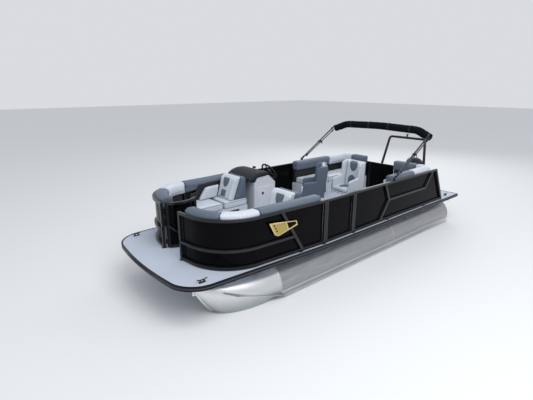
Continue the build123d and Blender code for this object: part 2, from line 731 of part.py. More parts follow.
def chaise_back():
    """Backrest across a bow seat, port side, facing the bow."""
    foot = on_deck(SEAT_TOP + SOFT_GAP)
    corners = [
        (CHAISE_FOOT_X, foot),
        *[(CHAISE_FOOT_X - aft, on_deck(CHAISE_TOP - below)) for aft, below in CHAISE_SIDE],
        (CHAISE_FOOT_X - CHAISE_DEPTH, foot),
    ]
    back = side_prism(corners, *CHAISE_Y)
    return fillet(back.faces().filter_by(Axis.Y).edges().filter_by_position(
        Axis.Z, foot + 1, on_deck(CHAISE_TOP)), CHAISE_ROUND)


def aft_seat_plan(side, inset, depth):
    """L-shaped plan of an aft seat, port side, along the side fence and across the stern fence."""
    outer_y = FENCE_Y - inset
    stern_x = STERN_FENCE_X + inset
    end_y = AFT_SEAT_END_Y[side]
    corners = [
        (AFT_SEAT_X[side], outer_y),
        (stern_x, outer_y),
        (stern_x, end_y),
        (stern_x + depth, end_y),
        (stern_x + depth, outer_y - depth),
        (AFT_SEAT_X[side], outer_y - depth),
    ]
    return make_face(Polyline(*corners, close=True))


def aft_bolster(side, profile, z):
    """Rounded top roll of an aft seat back in three lengths, port side."""
    inset = SEAT_SIDE + BOLSTER_WIDTH / 2
    points = [
        (AFT_SEAT_X[side], FENCE_Y - inset),
        (STERN_FENCE_X + inset, FENCE_Y - inset),
        (STERN_FENCE_X + inset, AFT_SEAT_END_Y[side]),
    ]
    whole = along(FilletPolyline(*points, radius=AFT_CORNER_R), profile, z)
    ahead = Plane(origin=(AFT_SEAM_X, 0, 0), z_dir=(1, 0, 0))
    inboard = Plane(origin=(0, AFT_SEAM_Y, 0), z_dir=(0, -1, 0))
    corner = split(whole, bisect_by=ahead.offset(-SOFT_GAP / 2), keep=Keep.BOTTOM)
    return [
        split(whole, bisect_by=ahead.offset(SOFT_GAP / 2), keep=Keep.TOP),
        split(corner, bisect_by=inboard.offset(SOFT_GAP / 2), keep=Keep.TOP),
        split(corner, bisect_by=inboard.offset(-SOFT_GAP / 2), keep=Keep.BOTTOM),
    ]


def console():
    """Helm console body, its upright edges rounded."""
    corners = [
        (CONSOLE_X[1], on_deck(0)),
        *[(x, on_deck(z)) for x, z in CONSOLE_TOP],
        (CONSOLE_X[0], on_deck(CONSOLE_REAR_TOP)),
        (CONSOLE_X[0], on_deck(0)),
    ]
    body = side_prism(corners, *CONSOLE_Y)
    return fillet(body.edges().filter_by(Axis.Z), CONSOLE_ROUND)


def dash_cowl():
    """Low hood on the console: it overhangs in front and rises to a soft crown."""
    (front_x, front_z), (slope_x, slope_z), (rear_x, rear_z) = CONSOLE_TOP
    foot = [(x, on_deck(z + SOFT_GAP)) for x, z in CONSOLE_TOP]
    crown = [
        (rear_x - 20, on_deck(rear_z + 30)),
        (rear_x + 55, on_deck(rear_z + COWL_RISE)),
        (slope_x - 60, on_deck(rear_z + COWL_RISE)),
        (front_x + COWL_FRONT - 70, on_deck(slope_z + 35)),
        (front_x + COWL_FRONT, on_deck(front_z + 50)),
    ]
    hood = side_prism([*foot, *crown], CONSOLE_Y[0] + COWL_END, CONSOLE_Y[1] - COWL_END)
    ends = hood.faces().filter_by(Axis.Y).edges().filter_by_position(
        Axis.Z, on_deck(rear_z + 20), on_deck(rear_z + COWL_RISE + 5))
    return fillet(ends, COWL_ROUND)


def wheel_place():
    """Plane across the steering shaft where it leaves the console."""
    return Plane(
        origin=(WHEEL_FOOT[0], WHEEL_FOOT[1], on_deck(WHEEL_FOOT[2])),
        x_dir=(0, 1, 0),
        z_dir=(-cos(radians(WHEEL_RAKE)), 0, sin(radians(WHEEL_RAKE))),
    )


def steering_boss():
    boss = upright(WHEEL_BOSS_R, WHEEL_BOSS_HEIGHT) - upright(WHEEL_SHAFT_R + RUNNING, WHEEL_BOSS_HEIGHT)
    return wheel_place() * boss


def steering_wheel():
    """Rim, three dished spokes, hub and the shaft that turns in the console."""
    wheel = Pos(0, 0, WHEEL_REACH) * Torus(WHEEL_R, WHEEL_RIM_R)
    wheel += Pos(0, 0, 8) * upright(WHEEL_SHAFT_R, WHEEL_REACH - 20)
    wheel += Pos(0, 0, WHEEL_REACH - 45) * Cone(
        30, 44, 40, align=(Align.CENTER, Align.CENTER, Align.MIN))
    spoke = loft([
        Plane(origin=(out, 0, WHEEL_REACH - behind), z_dir=(1, 0, 0)) * RectangleRounded(width, thick, 4)
        for out, behind, width, thick in SPOKE_SECTIONS
    ])
    for turn in SPOKE_TURNS:
        wheel += Rot(0, 0, turn) * spoke
    return wheel_place() * wheel


def chair_pedestal():
    """Round foot plate, tapered socket and post."""
    (plate_r, plate), (socket_r, socket) = PEDESTAL_PLATE, PEDESTAL_SOCKET
    cone = Cone(socket_r, PEDESTAL_R + 6, socket, align=(Align.CENTER, Align.CENTER, Align.MIN))
    return upright(plate_r, plate) + Pos(0, 0, plate) * cone + upright(PEDESTAL_R, PEDESTAL_HEIGHT)


def chair_seat():
    """Swivel chair about its pedestal, facing +x: shell with high sides, seat and back cushions."""
    half = CHAIR_WIDTH / 2
    inner = half - CHAIR_SIDE
    envelope = extrude(Pos(-20, 0, 0) * RectangleRounded(CHAIR_LENGTH, CHAIR_WIDTH, CHAIR_ROUND), 1100)
    wing = side_prism(CHAIR_WING, inner, half)
    back = side_prism(CHAIR_BACK, -inner, inner)
    pan = block(-200, 235, -half, half, CHAIR_PAN_FOOT, CHAIR_PAN_FOOT + CHAIR_PAN)
    shell = (wing + mirrored(wing) + back + pan) & envelope
    shell += Pos(0, 0, PEDESTAL_HEIGHT + SOFT_GAP) * upright(CHAIR_SWIVEL[0], CHAIR_SWIVEL[1] + 2)
    inner -= SOFT_GAP
    seat = block(*CHAIR_SEAT_X, -inner, inner, CHAIR_SEAT_FOOT, CHAIR_SEAT_TOP)
    seat = fillet(seat.edges().filter_by(Axis.Y).group_by(Axis.X)[-1], CHAIR_SEAT_ROUND)
    rest = side_prism(CHAIR_REST, -inner, inner)
    return [shell, seat & envelope, rest & envelope]


def canopy_legs():
    """Main and second bows of the folded canopy, port side, up to its boot."""
    foot = (CANOPY_X, FENCE_Y, on_deck(CANOPY_PIN_Z))
    top = (CANOPY_LEG_TOP[0], CANOPY_LEG_TOP[1], on_deck(CANOPY_LEG_TOP[2]))
    eye = Pos(*foot) * Rot(90, 0, 0) * Cylinder(*CANOPY_EYE)
    leg = rod(foot, top, CANOPY_TUBE_R)
    second = rod((foot[0] - SECOND_FOOT[0], foot[1], foot[2] + SECOND_FOOT[1]),
                 (top[0] - SECOND_TOP[0], top[1], top[2] + SECOND_TOP[1]), SECOND_TUBE_R)
    link = rod(*[(foot[0] - aft, foot[1], foot[2] + above) for aft, above in SECOND_LINK], SECOND_LINK_R)
    bore = Pos(*foot) * Rot(90, 0, 0) * Cylinder(CANOPY_PIN_R + RUNNING, 2 * CLAMP_WIDTH)
    return eye + leg + second + link - bore


def canopy_boot():
    """Folded bows and cloth in their cover, an arch across the boat with sloping ends."""
    end = (BOOT_END[0], BOOT_END[1], on_deck(BOOT_END[2]))
    knee = (BOOT_KNEE[0], BOOT_KNEE[1], on_deck(BOOT_KNEE[2]))
    points = [
        (end[0], -end[1], end[2]),
        (knee[0], -knee[1], knee[2]),
        (BOOT_CROWN_X, 0, on_deck(BOOT_CROWN)),
        knee,
        end,
    ]
    return bent_tube(points, BOOT_BENDS, BOOT_R)


def canopy_clamp():
    """Clamp on the port top rail with the pin that the canopy turns on."""
    ear_half, ear_thick = CLAMP_EAR
    inner_y, outer_y = FENCE_Y - CLAMP_WIDTH / 2, FENCE_Y + CLAMP_WIDTH / 2
    clamp = block(CANOPY_X - CLAMP_HALF, CANOPY_X + CLAMP_HALF, inner_y, outer_y,
                  on_deck(FENCE_HEIGHT), on_deck(FENCE_HEIGHT + CLAMP_HEIGHT))
    for y in (inner_y, outer_y - ear_thick):
        clamp += block(CANOPY_X - ear_half, CANOPY_X + ear_half, y, y + ear_thick,
                       on_deck(FENCE_HEIGHT), on_deck(CANOPY_PIN_Z + ear_half + 2))
    pin = Pos(CANOPY_X, FENCE_Y, on_deck(CANOPY_PIN_Z)) * Rot(90, 0, 0) * Cylinder(CANOPY_PIN_R, CLAMP_WIDTH)
    return clamp + pin


def tow_bar():
    """Arch of one tube with foot plates, and the knob for the rope on its middle."""
    (foot_x, foot_y), (top_x, top_y, top) = TOW_BAR_FOOT, TOW_BAR_TOP
    points = [
        (foot_x, -foot_y, DECK_TOP),
        (top_x, -top_y, on_deck(top)),
        (top_x, top_y, on_deck(top)),
        (foot_x, foot_y, DECK_TOP),
    ]
    shape = bent_tube(points, TOW_BAR_BEND, TOW_BAR_R)
    (plate_r, plate), (socket_r, socket) = TOW_BAR_PLATE, TOW_BAR_SOCKET
    cone = Cone(socket_r, TOW_BAR_R, socket, align=(Align.CENTER, Align.CENTER, Align.MIN))
    foot = upright(plate_r, plate) + Pos(0, 0, plate) * cone
    for y in (-foot_y, foot_y):
        shape += Pos(foot_x, y, DECK_TOP) * foot
    knob_top = TOW_BAR_R + TOW_KNOB[1]
    knob = upright(TOW_KNOB[0], knob_top) + Pos(0, 0, knob_top) * upright(*TOW_KNOB_CAP)
    shape += Pos(top_x, 0, on_deck(top)) * knob
    return shape & block(0, 2 * foot_x, -DECK_HALF, DECK_HALF, DECK_TOP, on_deck(2 * top))


def motor_place():
    return Pos(*MOTOR_PIN) * Rot(0, MOTOR_TILT, 0)


def motor_bracket():
    """Clamp on the transom with the tilt pin, in the boat's own directions."""
    shape = block(BRACKET_BACK, TRANSOM_AHEAD, -BRACKET_HALF, BRACKET_HALF, *BRACKET_Z)
    ear = make_face(Polyline(*BRACKET_EAR, close=True))
    for y in (-BRACKET_EAR_Y, BRACKET_EAR_Y):
        shape += side_extrude(ear, y, BRACKET_EAR_THICK)
    shape += Rot(90, 0, 0) * Cylinder(MOTOR_PIN_R, 2 * BRACKET_EAR_Y + 20)
    return Pos(*MOTOR_PIN) * shape


def motor_swivel():
    """Swivel bracket: it tilts on the pin and holds the motor's kingpin."""
    web_x, web_half, web_foot, web_top = SWIVEL_WEB
    low, high = SWIVEL_TUBE_Z
    shape = Rot(90, 0, 0) * Cylinder(*SWIVEL_HUB)
    shape += Pos(KINGPIN_X, 0, low) * upright(SWIVEL_TUBE_R, high - low)
    shape += block(KINGPIN_X, web_x, -web_half, web_half, web_foot, web_top)
    shape -= Rot(90, 0, 0) * Cylinder(MOTOR_PIN_R + RUNNING, 2 * SWIVEL_HUB[1])
    shape -= Pos(KINGPIN_X, 0, 2 * low) * upright(KINGPIN_R + RUNNING, 2 * (high - low))
    return motor_place() * shape


def motor_leg():
    """Kingpin, lofted mid section and strut, plate, gearcase and skeg, upright about the tilt pin."""
    low, high = KINGPIN_Z
    shape = Pos(KINGPIN_X, 0, low) * upright(KINGPIN_R, high - low)
    for ahead, half, z0, z1 in KINGPIN_YOKES:
        shape += block(LEG_X, KINGPIN_X + ahead, -half, half, z0, z1)
    shape += loft([Pos(LEG_X, 0, z) * RectangleRounded(LEG_LENGTH, width, LEG_ROUND)
                   for z, width in LEG_SECTIONS])
    shape += loft([Pos(x, 0, z) * Ellipse(length / 2, width / 2) for x, z, length, width in STRUT_SECTIONS])
    plate = make_face(Polyline(*[(x, -half) for x, half in PLATE_SIDE],
                               *[(x, half) for x, half in reversed(PLATE_SIDE)], close=True))
    shape += extrude(Pos(0, 0, PLATE_Z) * plate, PLATE_THICKNESS)
    bullet = make_face([
        Spline(*BULLET_SKIN, tangents=[(0, 1), (-1, -0.1)]),
        Polyline(BULLET_SKIN[-1], (BULLET_X[0], 0), BULLET_SKIN[0]),
    ])
    shape += Pos(0, 0, PROP_SHAFT_Z) * revolve(bullet, Axis.X)
    shape += side_prism(SKEG_SIDE, -SKEG_HALF, SKEG_HALF)
    shape += Pos(PROP_X + 20, 0, PROP_SHAFT_Z) * Rot(0, 90, 0) * Cylinder(PROP_SHAFT_R, PROP_SHAFT_LENGTH)
    return motor_place() * shape


def motor_cowl():
    """Hood over the powerhead, lofted from its pan to its crown."""
    sections = [Pos(x, 0, z) * RectangleRounded(length, width, corner)
                for z, x, length, width, corner in COWL_SECTIONS]
    return motor_place() * loft(sections)


def propeller():
    """Hub with three twisted blades, lofted from root to tip."""
    shape = Rot(0, 90, 0) * Cone(PROP_HUB_R - 6, PROP_HUB_R, PROP_HUB_LENGTH)
    blade = loft([
        Plane(origin=(0, 0, reach), x_dir=(sin(radians(pitch)), cos(radians(pitch)), 0), z_dir=(0, 0, 1))
        * Ellipse(chord, thick)
        for reach, chord, thick, pitch in BLADE_SECTIONS
    ])
    for turn in (0, 120, 240):
        shape += Rot(turn, 0, 0) * blade
    shape -= Rot(0, 90, 0) * Cylinder(PROP_SHAFT_R + RUNNING, 2 * PROP_HUB_LENGTH)
    return motor_place() * Pos(PROP_X, 0, PROP_SHAFT_Z) * shape


def ladder():
    """Two rails with eyes at the hinge, joined by rounded treads."""
    tread = Plane.XZ * RectangleRounded(TREAD_WIDTH, TREAD_THICK, TREAD_THICK / 3)
    tread = extrude(tread, LADDER_HALF, both=True)
    shape = Pos(LADDER_TREADS[0], 0, 0) * tread
    for x in LADDER_TREADS[1:]:
        shape += Pos(x, 0, 0) * tread
    for y in (-LADDER_HALF, LADDER_HALF):
        shape += rod((0, y, 0), (LADDER_LENGTH, y, 0), LADDER_RAIL_R)
        shape += Pos(0, y, 0) * Rot(90, 0, 0) * Cylinder(LADDER_EYE_R, 2 * LADDER_RAIL_R)
        shape -= Pos(0, y, 0) * Rot(90, 0, 0) * Cylinder(LADDER_PIN_R + RUNNING, 4 * LADDER_RAIL_R)
    return Pos(*LADDER_PIN) * shape


def ladder_brackets():
    """Two plates on the deck edge that carry the ladder's pins."""
    brackets = []
    half_cheek = LADDER_CHEEK_THICK / 2
    for y in (-LADDER_HALF, LADDER_HALF):
        outward = -1 if y < 0 else 1
        cheek_y = y + outward * LADDER_CHEEK_Y
        bracket = Rot(90, 0, 0) * Cylinder(LADDER_PIN_R, LADDER_PIN_LENGTH)
        bracket = Pos(0, y + outward * LADDER_PIN_R, 0) * bracket
        for x0, x1, z0, z1 in LADDER_CHEEK:
            bracket += block(x0, x1, cheek_y - half_cheek, cheek_y + half_cheek, z0, z1)
        brackets.append(Pos(*LADDER_PIN) * bracket)
    return brackets


def cleat():
    """Horn cleat about the middle of its foot, its horns turned up."""
    half = CLEAT_LENGTH / 2
    arc = ThreePointArc((-half, 0, CLEAT_HEIGHT), (0, 0, CLEAT_HEIGHT - CLEAT_DIP), (half, 0, CLEAT_HEIGHT))
    horn = sweep(Plane(origin=arc @ 0, z_dir=arc % 0) * Circle(CLEAT_R), path=arc)
    length, width, thick = CLEAT_FOOT
    shape = extrude(SlotOverall(length, width), thick) + horn
    for x in (-CLEAT_LEG_X, CLEAT_LEG_X):
        shape += Pos(x, 0, 0) * Cone(CLEAT_R + 6, CLEAT_R, CLEAT_HEIGHT - 10,
                                     align=(Align.CENTER, Align.CENTER, Align.MIN))
    return shape


def cleats():
    """Cleats on the bow and stern corners of the deck, both sides."""
    shapes = []
    for x in CLEAT_X:
        y = deck_edge_y(x) - CLEAT_INBOARD
        shapes += [Pos(x, y, DECK_TOP) * cleat(), Pos(x, -y, DECK_TOP) * cleat()]
    return shapes


def add(name, *shapes):
    """Keep the solids of one named piece."""
    pieces[name] = [solid for shape in shapes for solid in shape.solids()]


# Hull and deck
hull_tube = pontoon_tube()
nose = pontoon_nose()
add("pontoon_tube_port", hull_tube)
add("pontoon_tube_starboard", mirrored(hull_tube))
add("pontoon_nose_port", nose)
add("pontoon_nose_starboard", mirrored(nose))
add("crossmembers", *crossmembers())
add("motor_pod", motor_pod())
deck_plan = deck_outline(0)
add("deck", plan_extrude(deck_plan, DECK_TOP - DECK_THICK, DECK_TOP))
rub_top = DECK_TOP + RUB_LIP
rub_middle = rub_top - RUB_HEIGHT / 2
groove_plan = deck_outline(RUB_THICK + 5) - deck_outline(RUB_THICK - RUB_GROOVE)
rub_rail = plan_extrude(deck_outline(RUB_THICK) - deck_plan, rub_top - RUB_HEIGHT, rub_top)
rub_rail -= plan_extrude(groove_plan, rub_middle - RUB_GROOVE_WIDTH / 2, rub_middle + RUB_GROOVE_WIDTH / 2)
add("rub_rail", rub_rail)

# Fences and gates
port_bow_frame, port_bow_panel = fence_bow(SIDE_GATE_X[1] + GATE_SIDE_GAP)
starboard_bow_frame, starboard_bow_panel = fence_bow(SIDE_GATE_X[1] + POST_GAP)
port_aft_frame, port_aft_panel = fence_aft(SIDE_GATE_X[0] - GATE_SIDE_GAP)
starboard_aft_frame, starboard_aft_panel = fence_aft(SIDE_GATE_X[1])

# columns: name, hinge x, hinge y, turn when closed, width, height, bulge
bow_gate_axis = (FENCE_FRONT_X - HINGE_OFFSET, -(FENCE_FRONT_Y - HALF - GATE_SIDE_GAP))
side_gate_axis = (SIDE_GATE_X[1], FENCE_Y - HINGE_OFFSET)
stern_gate_axis = (STERN_FENCE_X + HINGE_OFFSET, STERN_GATE_Y[1])
bow_width = 2 * (FENCE_FRONT_Y - HALF - GATE_SIDE_GAP) - GATE_SIDE_GAP
side_width = SIDE_GATE_X[1] - SIDE_GATE_X[0] - 2 * GATE_SIDE_GAP
stern_width = STERN_GATE_Y[1] - STERN_GATE_Y[0] - 2 * GATE_SIDE_GAP
gates = [
    ("bow_gate", bow_gate_axis, 180, 90, bow_width, FENCE_HEIGHT, BOW_GATE_BULGE),
    ("side_gate", side_gate_axis, 180, 180, side_width, FENCE_HEIGHT, 0),
    ("stern_gate", stern_gate_axis, -90, -90, stern_width, STERN_FENCE_HEIGHT, 0),
]
ears = {}
for name, (x, y), turn, ear_turn, width, height, bulge in gates:
    frame, panel = gate(width, height, bulge)
    place = Pos(x, y, DECK_TOP) * Rot(0, 0, turn)
    add(name + "_frame", place * frame)
    add(name + "_panel", place * panel)
    ears[name] = [Pos(x, y, DECK_TOP) * Rot(0, 0, ear_turn) * ear for ear in hinge_ears()]

starboard_bow_frame = mirrored(starboard_bow_frame)
for ear in ears["bow_gate"]:
    starboard_bow_frame += ear
for ear in ears["side_gate"]:
    port_bow_frame += ear
stern_end = FENCE_Y - HALF - PANEL_THICK
stern_port_frame, stern_port_panel = fence_stern(STERN_GATE_Y[1] + GATE_SIDE_GAP, stern_end)
stern_starboard_frame, stern_starboard_panel = fence_stern(-stern_end, STERN_GATE_Y[0] - GATE_SIDE_GAP)
for ear in ears["stern_gate"]:
    stern_port_frame += ear
add("bow_fence_frame_port", port_bow_frame)
add("bow_fence_frame_starboard", starboard_bow_frame)
add("bow_fence_panels", port_bow_panel, mirrored(starboard_bow_panel))
add("aft_fence_frame_port", port_aft_frame)
add("aft_fence_frame_starboard", mirrored(starboard_aft_frame))
add("aft_fence_panels", port_aft_panel, mirrored(starboard_aft_panel))
add("stern_fence_frame", stern_port_frame, stern_starboard_frame)
add("stern_fence_panel", stern_port_panel, stern_starboard_panel)

# Seats, each kind as one piece for both sides
cushion_inset = SEAT_SIDE + BAND_THICK + SOFT_GAP
band_foot = on_deck(SEAT_BASE + SOFT_GAP)
bolster_foot = on_deck(BOLSTER_TOP - BOLSTER_HEIGHT)
band_top = bolster_foot - SOFT_GAP
round_profile = RectangleRounded(BOLSTER_WIDTH, BOLSTER_HEIGHT, BOLSTER_ROUND)
flat_profile = Rectangle(BAND_THICK, band_top - band_foot)
seats = {}
for side in ("port", "starboard"):
    shapes = {
        "bow_seat_bases": [plan_extrude(bow_seat_plan(side, BASE_INSET, AISLE_Y + TOE_ROOM),
                                        DECK_TOP, on_deck(SEAT_BASE))],
        "bow_seat_cushions": [plan_extrude(bow_seat_plan(side, cushion_inset, AISLE_Y),
                                           on_deck(SEAT_BASE), on_deck(SEAT_TOP))],
        "bow_bolsters": bow_back_sections(side, SEAT_SIDE + BOLSTER_WIDTH / 2, round_profile,
                                          bolster_foot + BOLSTER_HEIGHT / 2),
        "bow_back_bands": bow_back_sections(side, SEAT_SIDE + BAND_THICK / 2, flat_profile,
                                            (band_foot + band_top) / 2),
        "chaise_backs": [chaise_back()],
        "aft_seat_bases": [plan_extrude(
            aft_seat_plan(side, BASE_INSET, AFT_SEAT_DEPTH - BASE_INSET - TOE_ROOM),
            DECK_TOP, on_deck(SEAT_BASE))],
        "aft_seat_cushions": [plan_extrude(
            aft_seat_plan(side, cushion_inset, AFT_SEAT_DEPTH - cushion_inset),
            on_deck(SEAT_BASE), on_deck(SEAT_TOP))],
        "aft_back_bands": [plan_extrude(aft_seat_plan(side, SEAT_SIDE, BAND_THICK), band_foot, band_top)],
        "aft_bolsters": aft_bolster(side, round_profile, bolster_foot + BOLSTER_HEIGHT / 2),
    }
    for name, solids in shapes.items():
        sided = solids if side == "port" else [mirrored(solid) for solid in solids]
        seats.setdefault(name, []).extend(sided)
for name, shapes in seats.items():
    add(name, *shapes)

# Helm
console_shape = console() + steering_boss()
console_shape -= wheel_place() * Pos(0, 0, -WHEEL_BORE_DEPTH) * upright(
    WHEEL_SHAFT_R + RUNNING, WHEEL_BORE_DEPTH + WHEEL_BOSS_HEIGHT)
add("helm_console", console_shape)
add("dash_cowl", dash_cowl())
add("steering_wheel", steering_wheel())

# columns: name, x, y, heading
chairs = [("helm", 3640, FENCE_Y - 1185, -45), ("companion", 2960, FENCE_Y - 875, -5)]
pedestals = []
for name, x, y, heading in chairs:
    place = Pos(x, y, DECK_TOP) * Rot(0, 0, heading)
    pedestals.append(place * chair_pedestal())
    add(name + "_chair", *[place * solid for solid in chair_seat()])
add("chair_pedestals", *pedestals)

# Canopy
boot = canopy_boot()
legs = canopy_legs() - boot
add("canopy_bows", legs, mirrored(legs))
add("canopy_boot", boot)
clamp = canopy_clamp()
add("canopy_clamps", clamp, mirrored(clamp))

# Stern
add("tow_bar", tow_bar())
add("motor_bracket", motor_bracket())
add("motor_swivel", motor_swivel())
add("motor_leg", motor_leg())
add("motor_cowl", motor_cowl())
add("propeller", propeller())
add("boarding_ladder", ladder())
add("ladder_brackets", *ladder_brackets())
add("cleats", *cleats())

# The boat is as long as from the propeller's tips to the rub rail at the bow
boxes = [solid.bounding_box() for solids in pieces.values() for solid in solids]
middle_x = round((min(box.min.X for box in boxes) + max(box.max.X for box in boxes)) / 2)
for name, solids in pieces.items():
    moved = [Pos(-middle_x, 0, 0) * solid for solid in solids]
    export_step(Compound(moved) if len(moved) > 1 else moved[0], "parts/" + name + ".step")
print("middle at x =", middle_x)
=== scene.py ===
import json
import math

import bmesh
import bpy
import numpy as np
from mathutils import Matrix, Vector
from mathutils.bvhtree import BVHTree


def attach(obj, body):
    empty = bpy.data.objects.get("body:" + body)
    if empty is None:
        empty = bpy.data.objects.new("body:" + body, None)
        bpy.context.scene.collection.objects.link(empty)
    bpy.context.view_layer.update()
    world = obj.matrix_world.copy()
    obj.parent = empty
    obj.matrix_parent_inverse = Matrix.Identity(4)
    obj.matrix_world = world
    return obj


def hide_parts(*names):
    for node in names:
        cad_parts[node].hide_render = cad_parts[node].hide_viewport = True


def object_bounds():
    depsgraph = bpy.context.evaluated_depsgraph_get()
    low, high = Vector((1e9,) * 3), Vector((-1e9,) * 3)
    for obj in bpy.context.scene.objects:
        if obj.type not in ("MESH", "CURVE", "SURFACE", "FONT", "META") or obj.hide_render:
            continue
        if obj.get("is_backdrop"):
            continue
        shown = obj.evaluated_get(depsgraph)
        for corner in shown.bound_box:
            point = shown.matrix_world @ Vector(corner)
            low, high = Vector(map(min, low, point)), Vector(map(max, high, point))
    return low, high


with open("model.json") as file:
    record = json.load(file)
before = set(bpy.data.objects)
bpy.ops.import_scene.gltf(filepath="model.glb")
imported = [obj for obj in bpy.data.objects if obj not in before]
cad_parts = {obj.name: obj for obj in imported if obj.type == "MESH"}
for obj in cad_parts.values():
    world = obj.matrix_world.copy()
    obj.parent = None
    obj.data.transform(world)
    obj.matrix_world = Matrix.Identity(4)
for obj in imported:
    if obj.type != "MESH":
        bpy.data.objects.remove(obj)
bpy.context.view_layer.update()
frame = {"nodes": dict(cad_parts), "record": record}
cad = frame["nodes"]
scene = bpy.context.scene

# Lengths in metres. The deck's stern edge lies STERN aft of the origin and the deck's top at DECK.
STERN = 2.911
DECK = 0.835
WATERLINE = 0.19
DECK_HALF = 1.27
FENCE_Y = 1.225
RAIL = 0.038
TAPER_X = 4.602
TAPER = math.tan(math.radians(2.9))
SEAT_TOP = 0.43
TUBE_Y = 0.87
TUBE_Z = 0.3375
TUBE_R = 0.3175
AHEAD = Vector((1, 0, 0))
PORT = Vector((0, 1, 0))
UP = Vector((0, 0, 1))


def at(x, y, z):
    """Point given from the deck's stern edge and its top."""
    return Vector((x - STERN, y, DECK + z))


# Node trees


def add_socket(tree, label, kind, value=None, way="INPUT"):
    socket = tree.interface.new_socket(label, in_out=way, socket_type="NodeSocket" + kind)
    if value is not None:
        socket.default_value = value


def add_node(tree, kind, values, **settings):
    """New node with its settings, and with each named input linked to a socket or set to a value."""
    node = tree.nodes.new(kind)
    for label, value in settings.items():
        setattr(node, label, value)
    for label, value in values.items():
        if isinstance(value, bpy.types.NodeSocket):
            tree.links.new(value, node.inputs[label])
        else:
            node.inputs[label].default_value = value
    return node


def math_node(tree, operation, *values):
    """Result of one operation on sockets or numbers."""
    return add_node(tree, "ShaderNodeMath", dict(enumerate(values)), operation=operation).outputs[0]


def noise_value(tree, vector, scale, detail=3.0):
    values = {"Vector": vector, "Scale": scale, "Detail": detail}
    return add_node(tree, "ShaderNodeTexNoise", values).outputs[0]


# Shader groups and materials


def new_group(name, values, *outputs):
    """Shader group with a vector input, inputs with their usual values, and number outputs."""
    tree = bpy.data.node_groups.new(name, "ShaderNodeTree")
    add_socket(tree, "Vector", "Vector")
    for label, value in values.items():
        add_socket(tree, label, "Vector" if isinstance(value, tuple) else "Float", value)
    for label in outputs:
        add_socket(tree, label, "Float", None, "OUTPUT")
    return tree, tree.nodes.new("NodeGroupInput").outputs, tree.nodes.new("NodeGroupOutput").inputs


def make_handling_group():
    """Broad cloudy wear with finer marks in it, 0 clean to 1 worn."""
    tree, given, out = new_group("handling", {"Contrast": 1.0}, "Mask")
    broad = noise_value(tree, given["Vector"], 1.7)
    fine = noise_value(tree, given["Vector"], 34.0, 5.0)
    mixed = math_node(tree, "MULTIPLY", broad, fine)
    spread = math_node(tree, "MULTIPLY", mixed, given["Contrast"])
    tree.links.new(add_node(tree, "ShaderNodeClamp", {0: spread}).outputs[0], out["Mask"])
    return tree


def make_hide_group():
    """Pebbled grain of marine vinyl."""
    tree, given, out = new_group("vinyl_grain", {}, "Height")
    values = {"Scale": 420.0, "Vector": given["Vector"]}
    cells = add_node(tree, "ShaderNodeTexVoronoi", values, feature="SMOOTH_F1")
    soft = math_node(tree, "MULTIPLY", noise_value(tree, given["Vector"], 38.0), 1.4)
    tree.links.new(math_node(tree, "ADD", cells.outputs["Distance"], soft), out["Height"])
    return tree


def make_weave_group():
    """Plain weave: warp and weft bands that cross, with uneven yarn."""
    tree, given, out = new_group("weave", {"Threads": 300.0}, "Height", "Yarn")
    values = {"Distortion": 0.6, "Detail": 1.0, "Vector": given["Vector"], "Scale": given["Threads"]}
    x, y, z = (add_node(tree, "ShaderNodeTexWave", values, bands_direction=axis).outputs["Fac"]
               for axis in "XYZ")
    tree.links.new(math_node(tree, "MULTIPLY", math_node(tree, "ADD", x, z), y), out["Height"])
    tree.links.new(noise_value(tree, given["Vector"], 150.0), out["Yarn"])
    return tree


def make_rolled_group():
    """Marks drawn out along one direction, as on rolled or polished sheet metal."""
    tree, given, out = new_group("rolled_marks", {"Squash": (1.0, 40.0, 40.0)}, "Marks")
    values = {0: given["Vector"], 1: given["Squash"]}
    drawn = add_node(tree, "ShaderNodeVectorMath", values, operation="MULTIPLY").outputs[0]
    tree.links.new(noise_value(tree, drawn, 6.0, 4.0), out["Marks"])
    return tree


def make_strake_highlight_group():
    """Where the strakes get a painted highlight: 1 on the spray strakes, which stand out past the tubes'
    sides, and 0 elsewhere.
    """
    tree, given, out = new_group("strake_highlight_mask", {"Reach": 1.175, "Top": 0.275}, "Mask")
    split = add_node(tree, "ShaderNodeSeparateXYZ", {0: given["Vector"]}).outputs
    aside = math_node(tree, "GREATER_THAN", math_node(tree, "ABSOLUTE", split["Y"]), given["Reach"])
    below = math_node(tree, "LESS_THAN", split["Z"], given["Top"])
    tree.links.new(math_node(tree, "MULTIPLY", aside, below), out["Mask"])
    return tree


def make_water_reflection_group():
    """Painted reflection of the water: 1 at the water and 0 from a set height up, with a wavering edge
    between.
    """
    usual = {"Low": 0.20, "High": 0.52, "Waver": 0.10, "Strength": 0.75}
    tree, given, out = new_group("painted_water_reflection", usual, "Mask")
    split = add_node(tree, "ShaderNodeSeparateXYZ", {0: given["Vector"]}).outputs
    drift = math_node(tree, "SUBTRACT", noise_value(tree, given["Vector"], 3.0), 0.5)
    waver = math_node(tree, "MULTIPLY", drift, given["Waver"])
    values = {"Value": math_node(tree, "ADD", split["Z"], waver), "From Min": given["Low"],
              "From Max": given["High"], "To Min": 1.0, "To Max": 0.0}
    fade = add_node(tree, "ShaderNodeMapRange", values, interpolation_type="SMOOTHSTEP")
    painted_reflection = math_node(tree, "MULTIPLY", fade.outputs["Result"], given["Strength"])
    tree.links.new(painted_reflection, out["Mask"])
    return tree


handling = make_handling_group()
hide = make_hide_group()
weave = make_weave_group()
rolled = make_rolled_group()
strake_highlight = make_strake_highlight_group()
water_reflection = make_water_reflection_group()


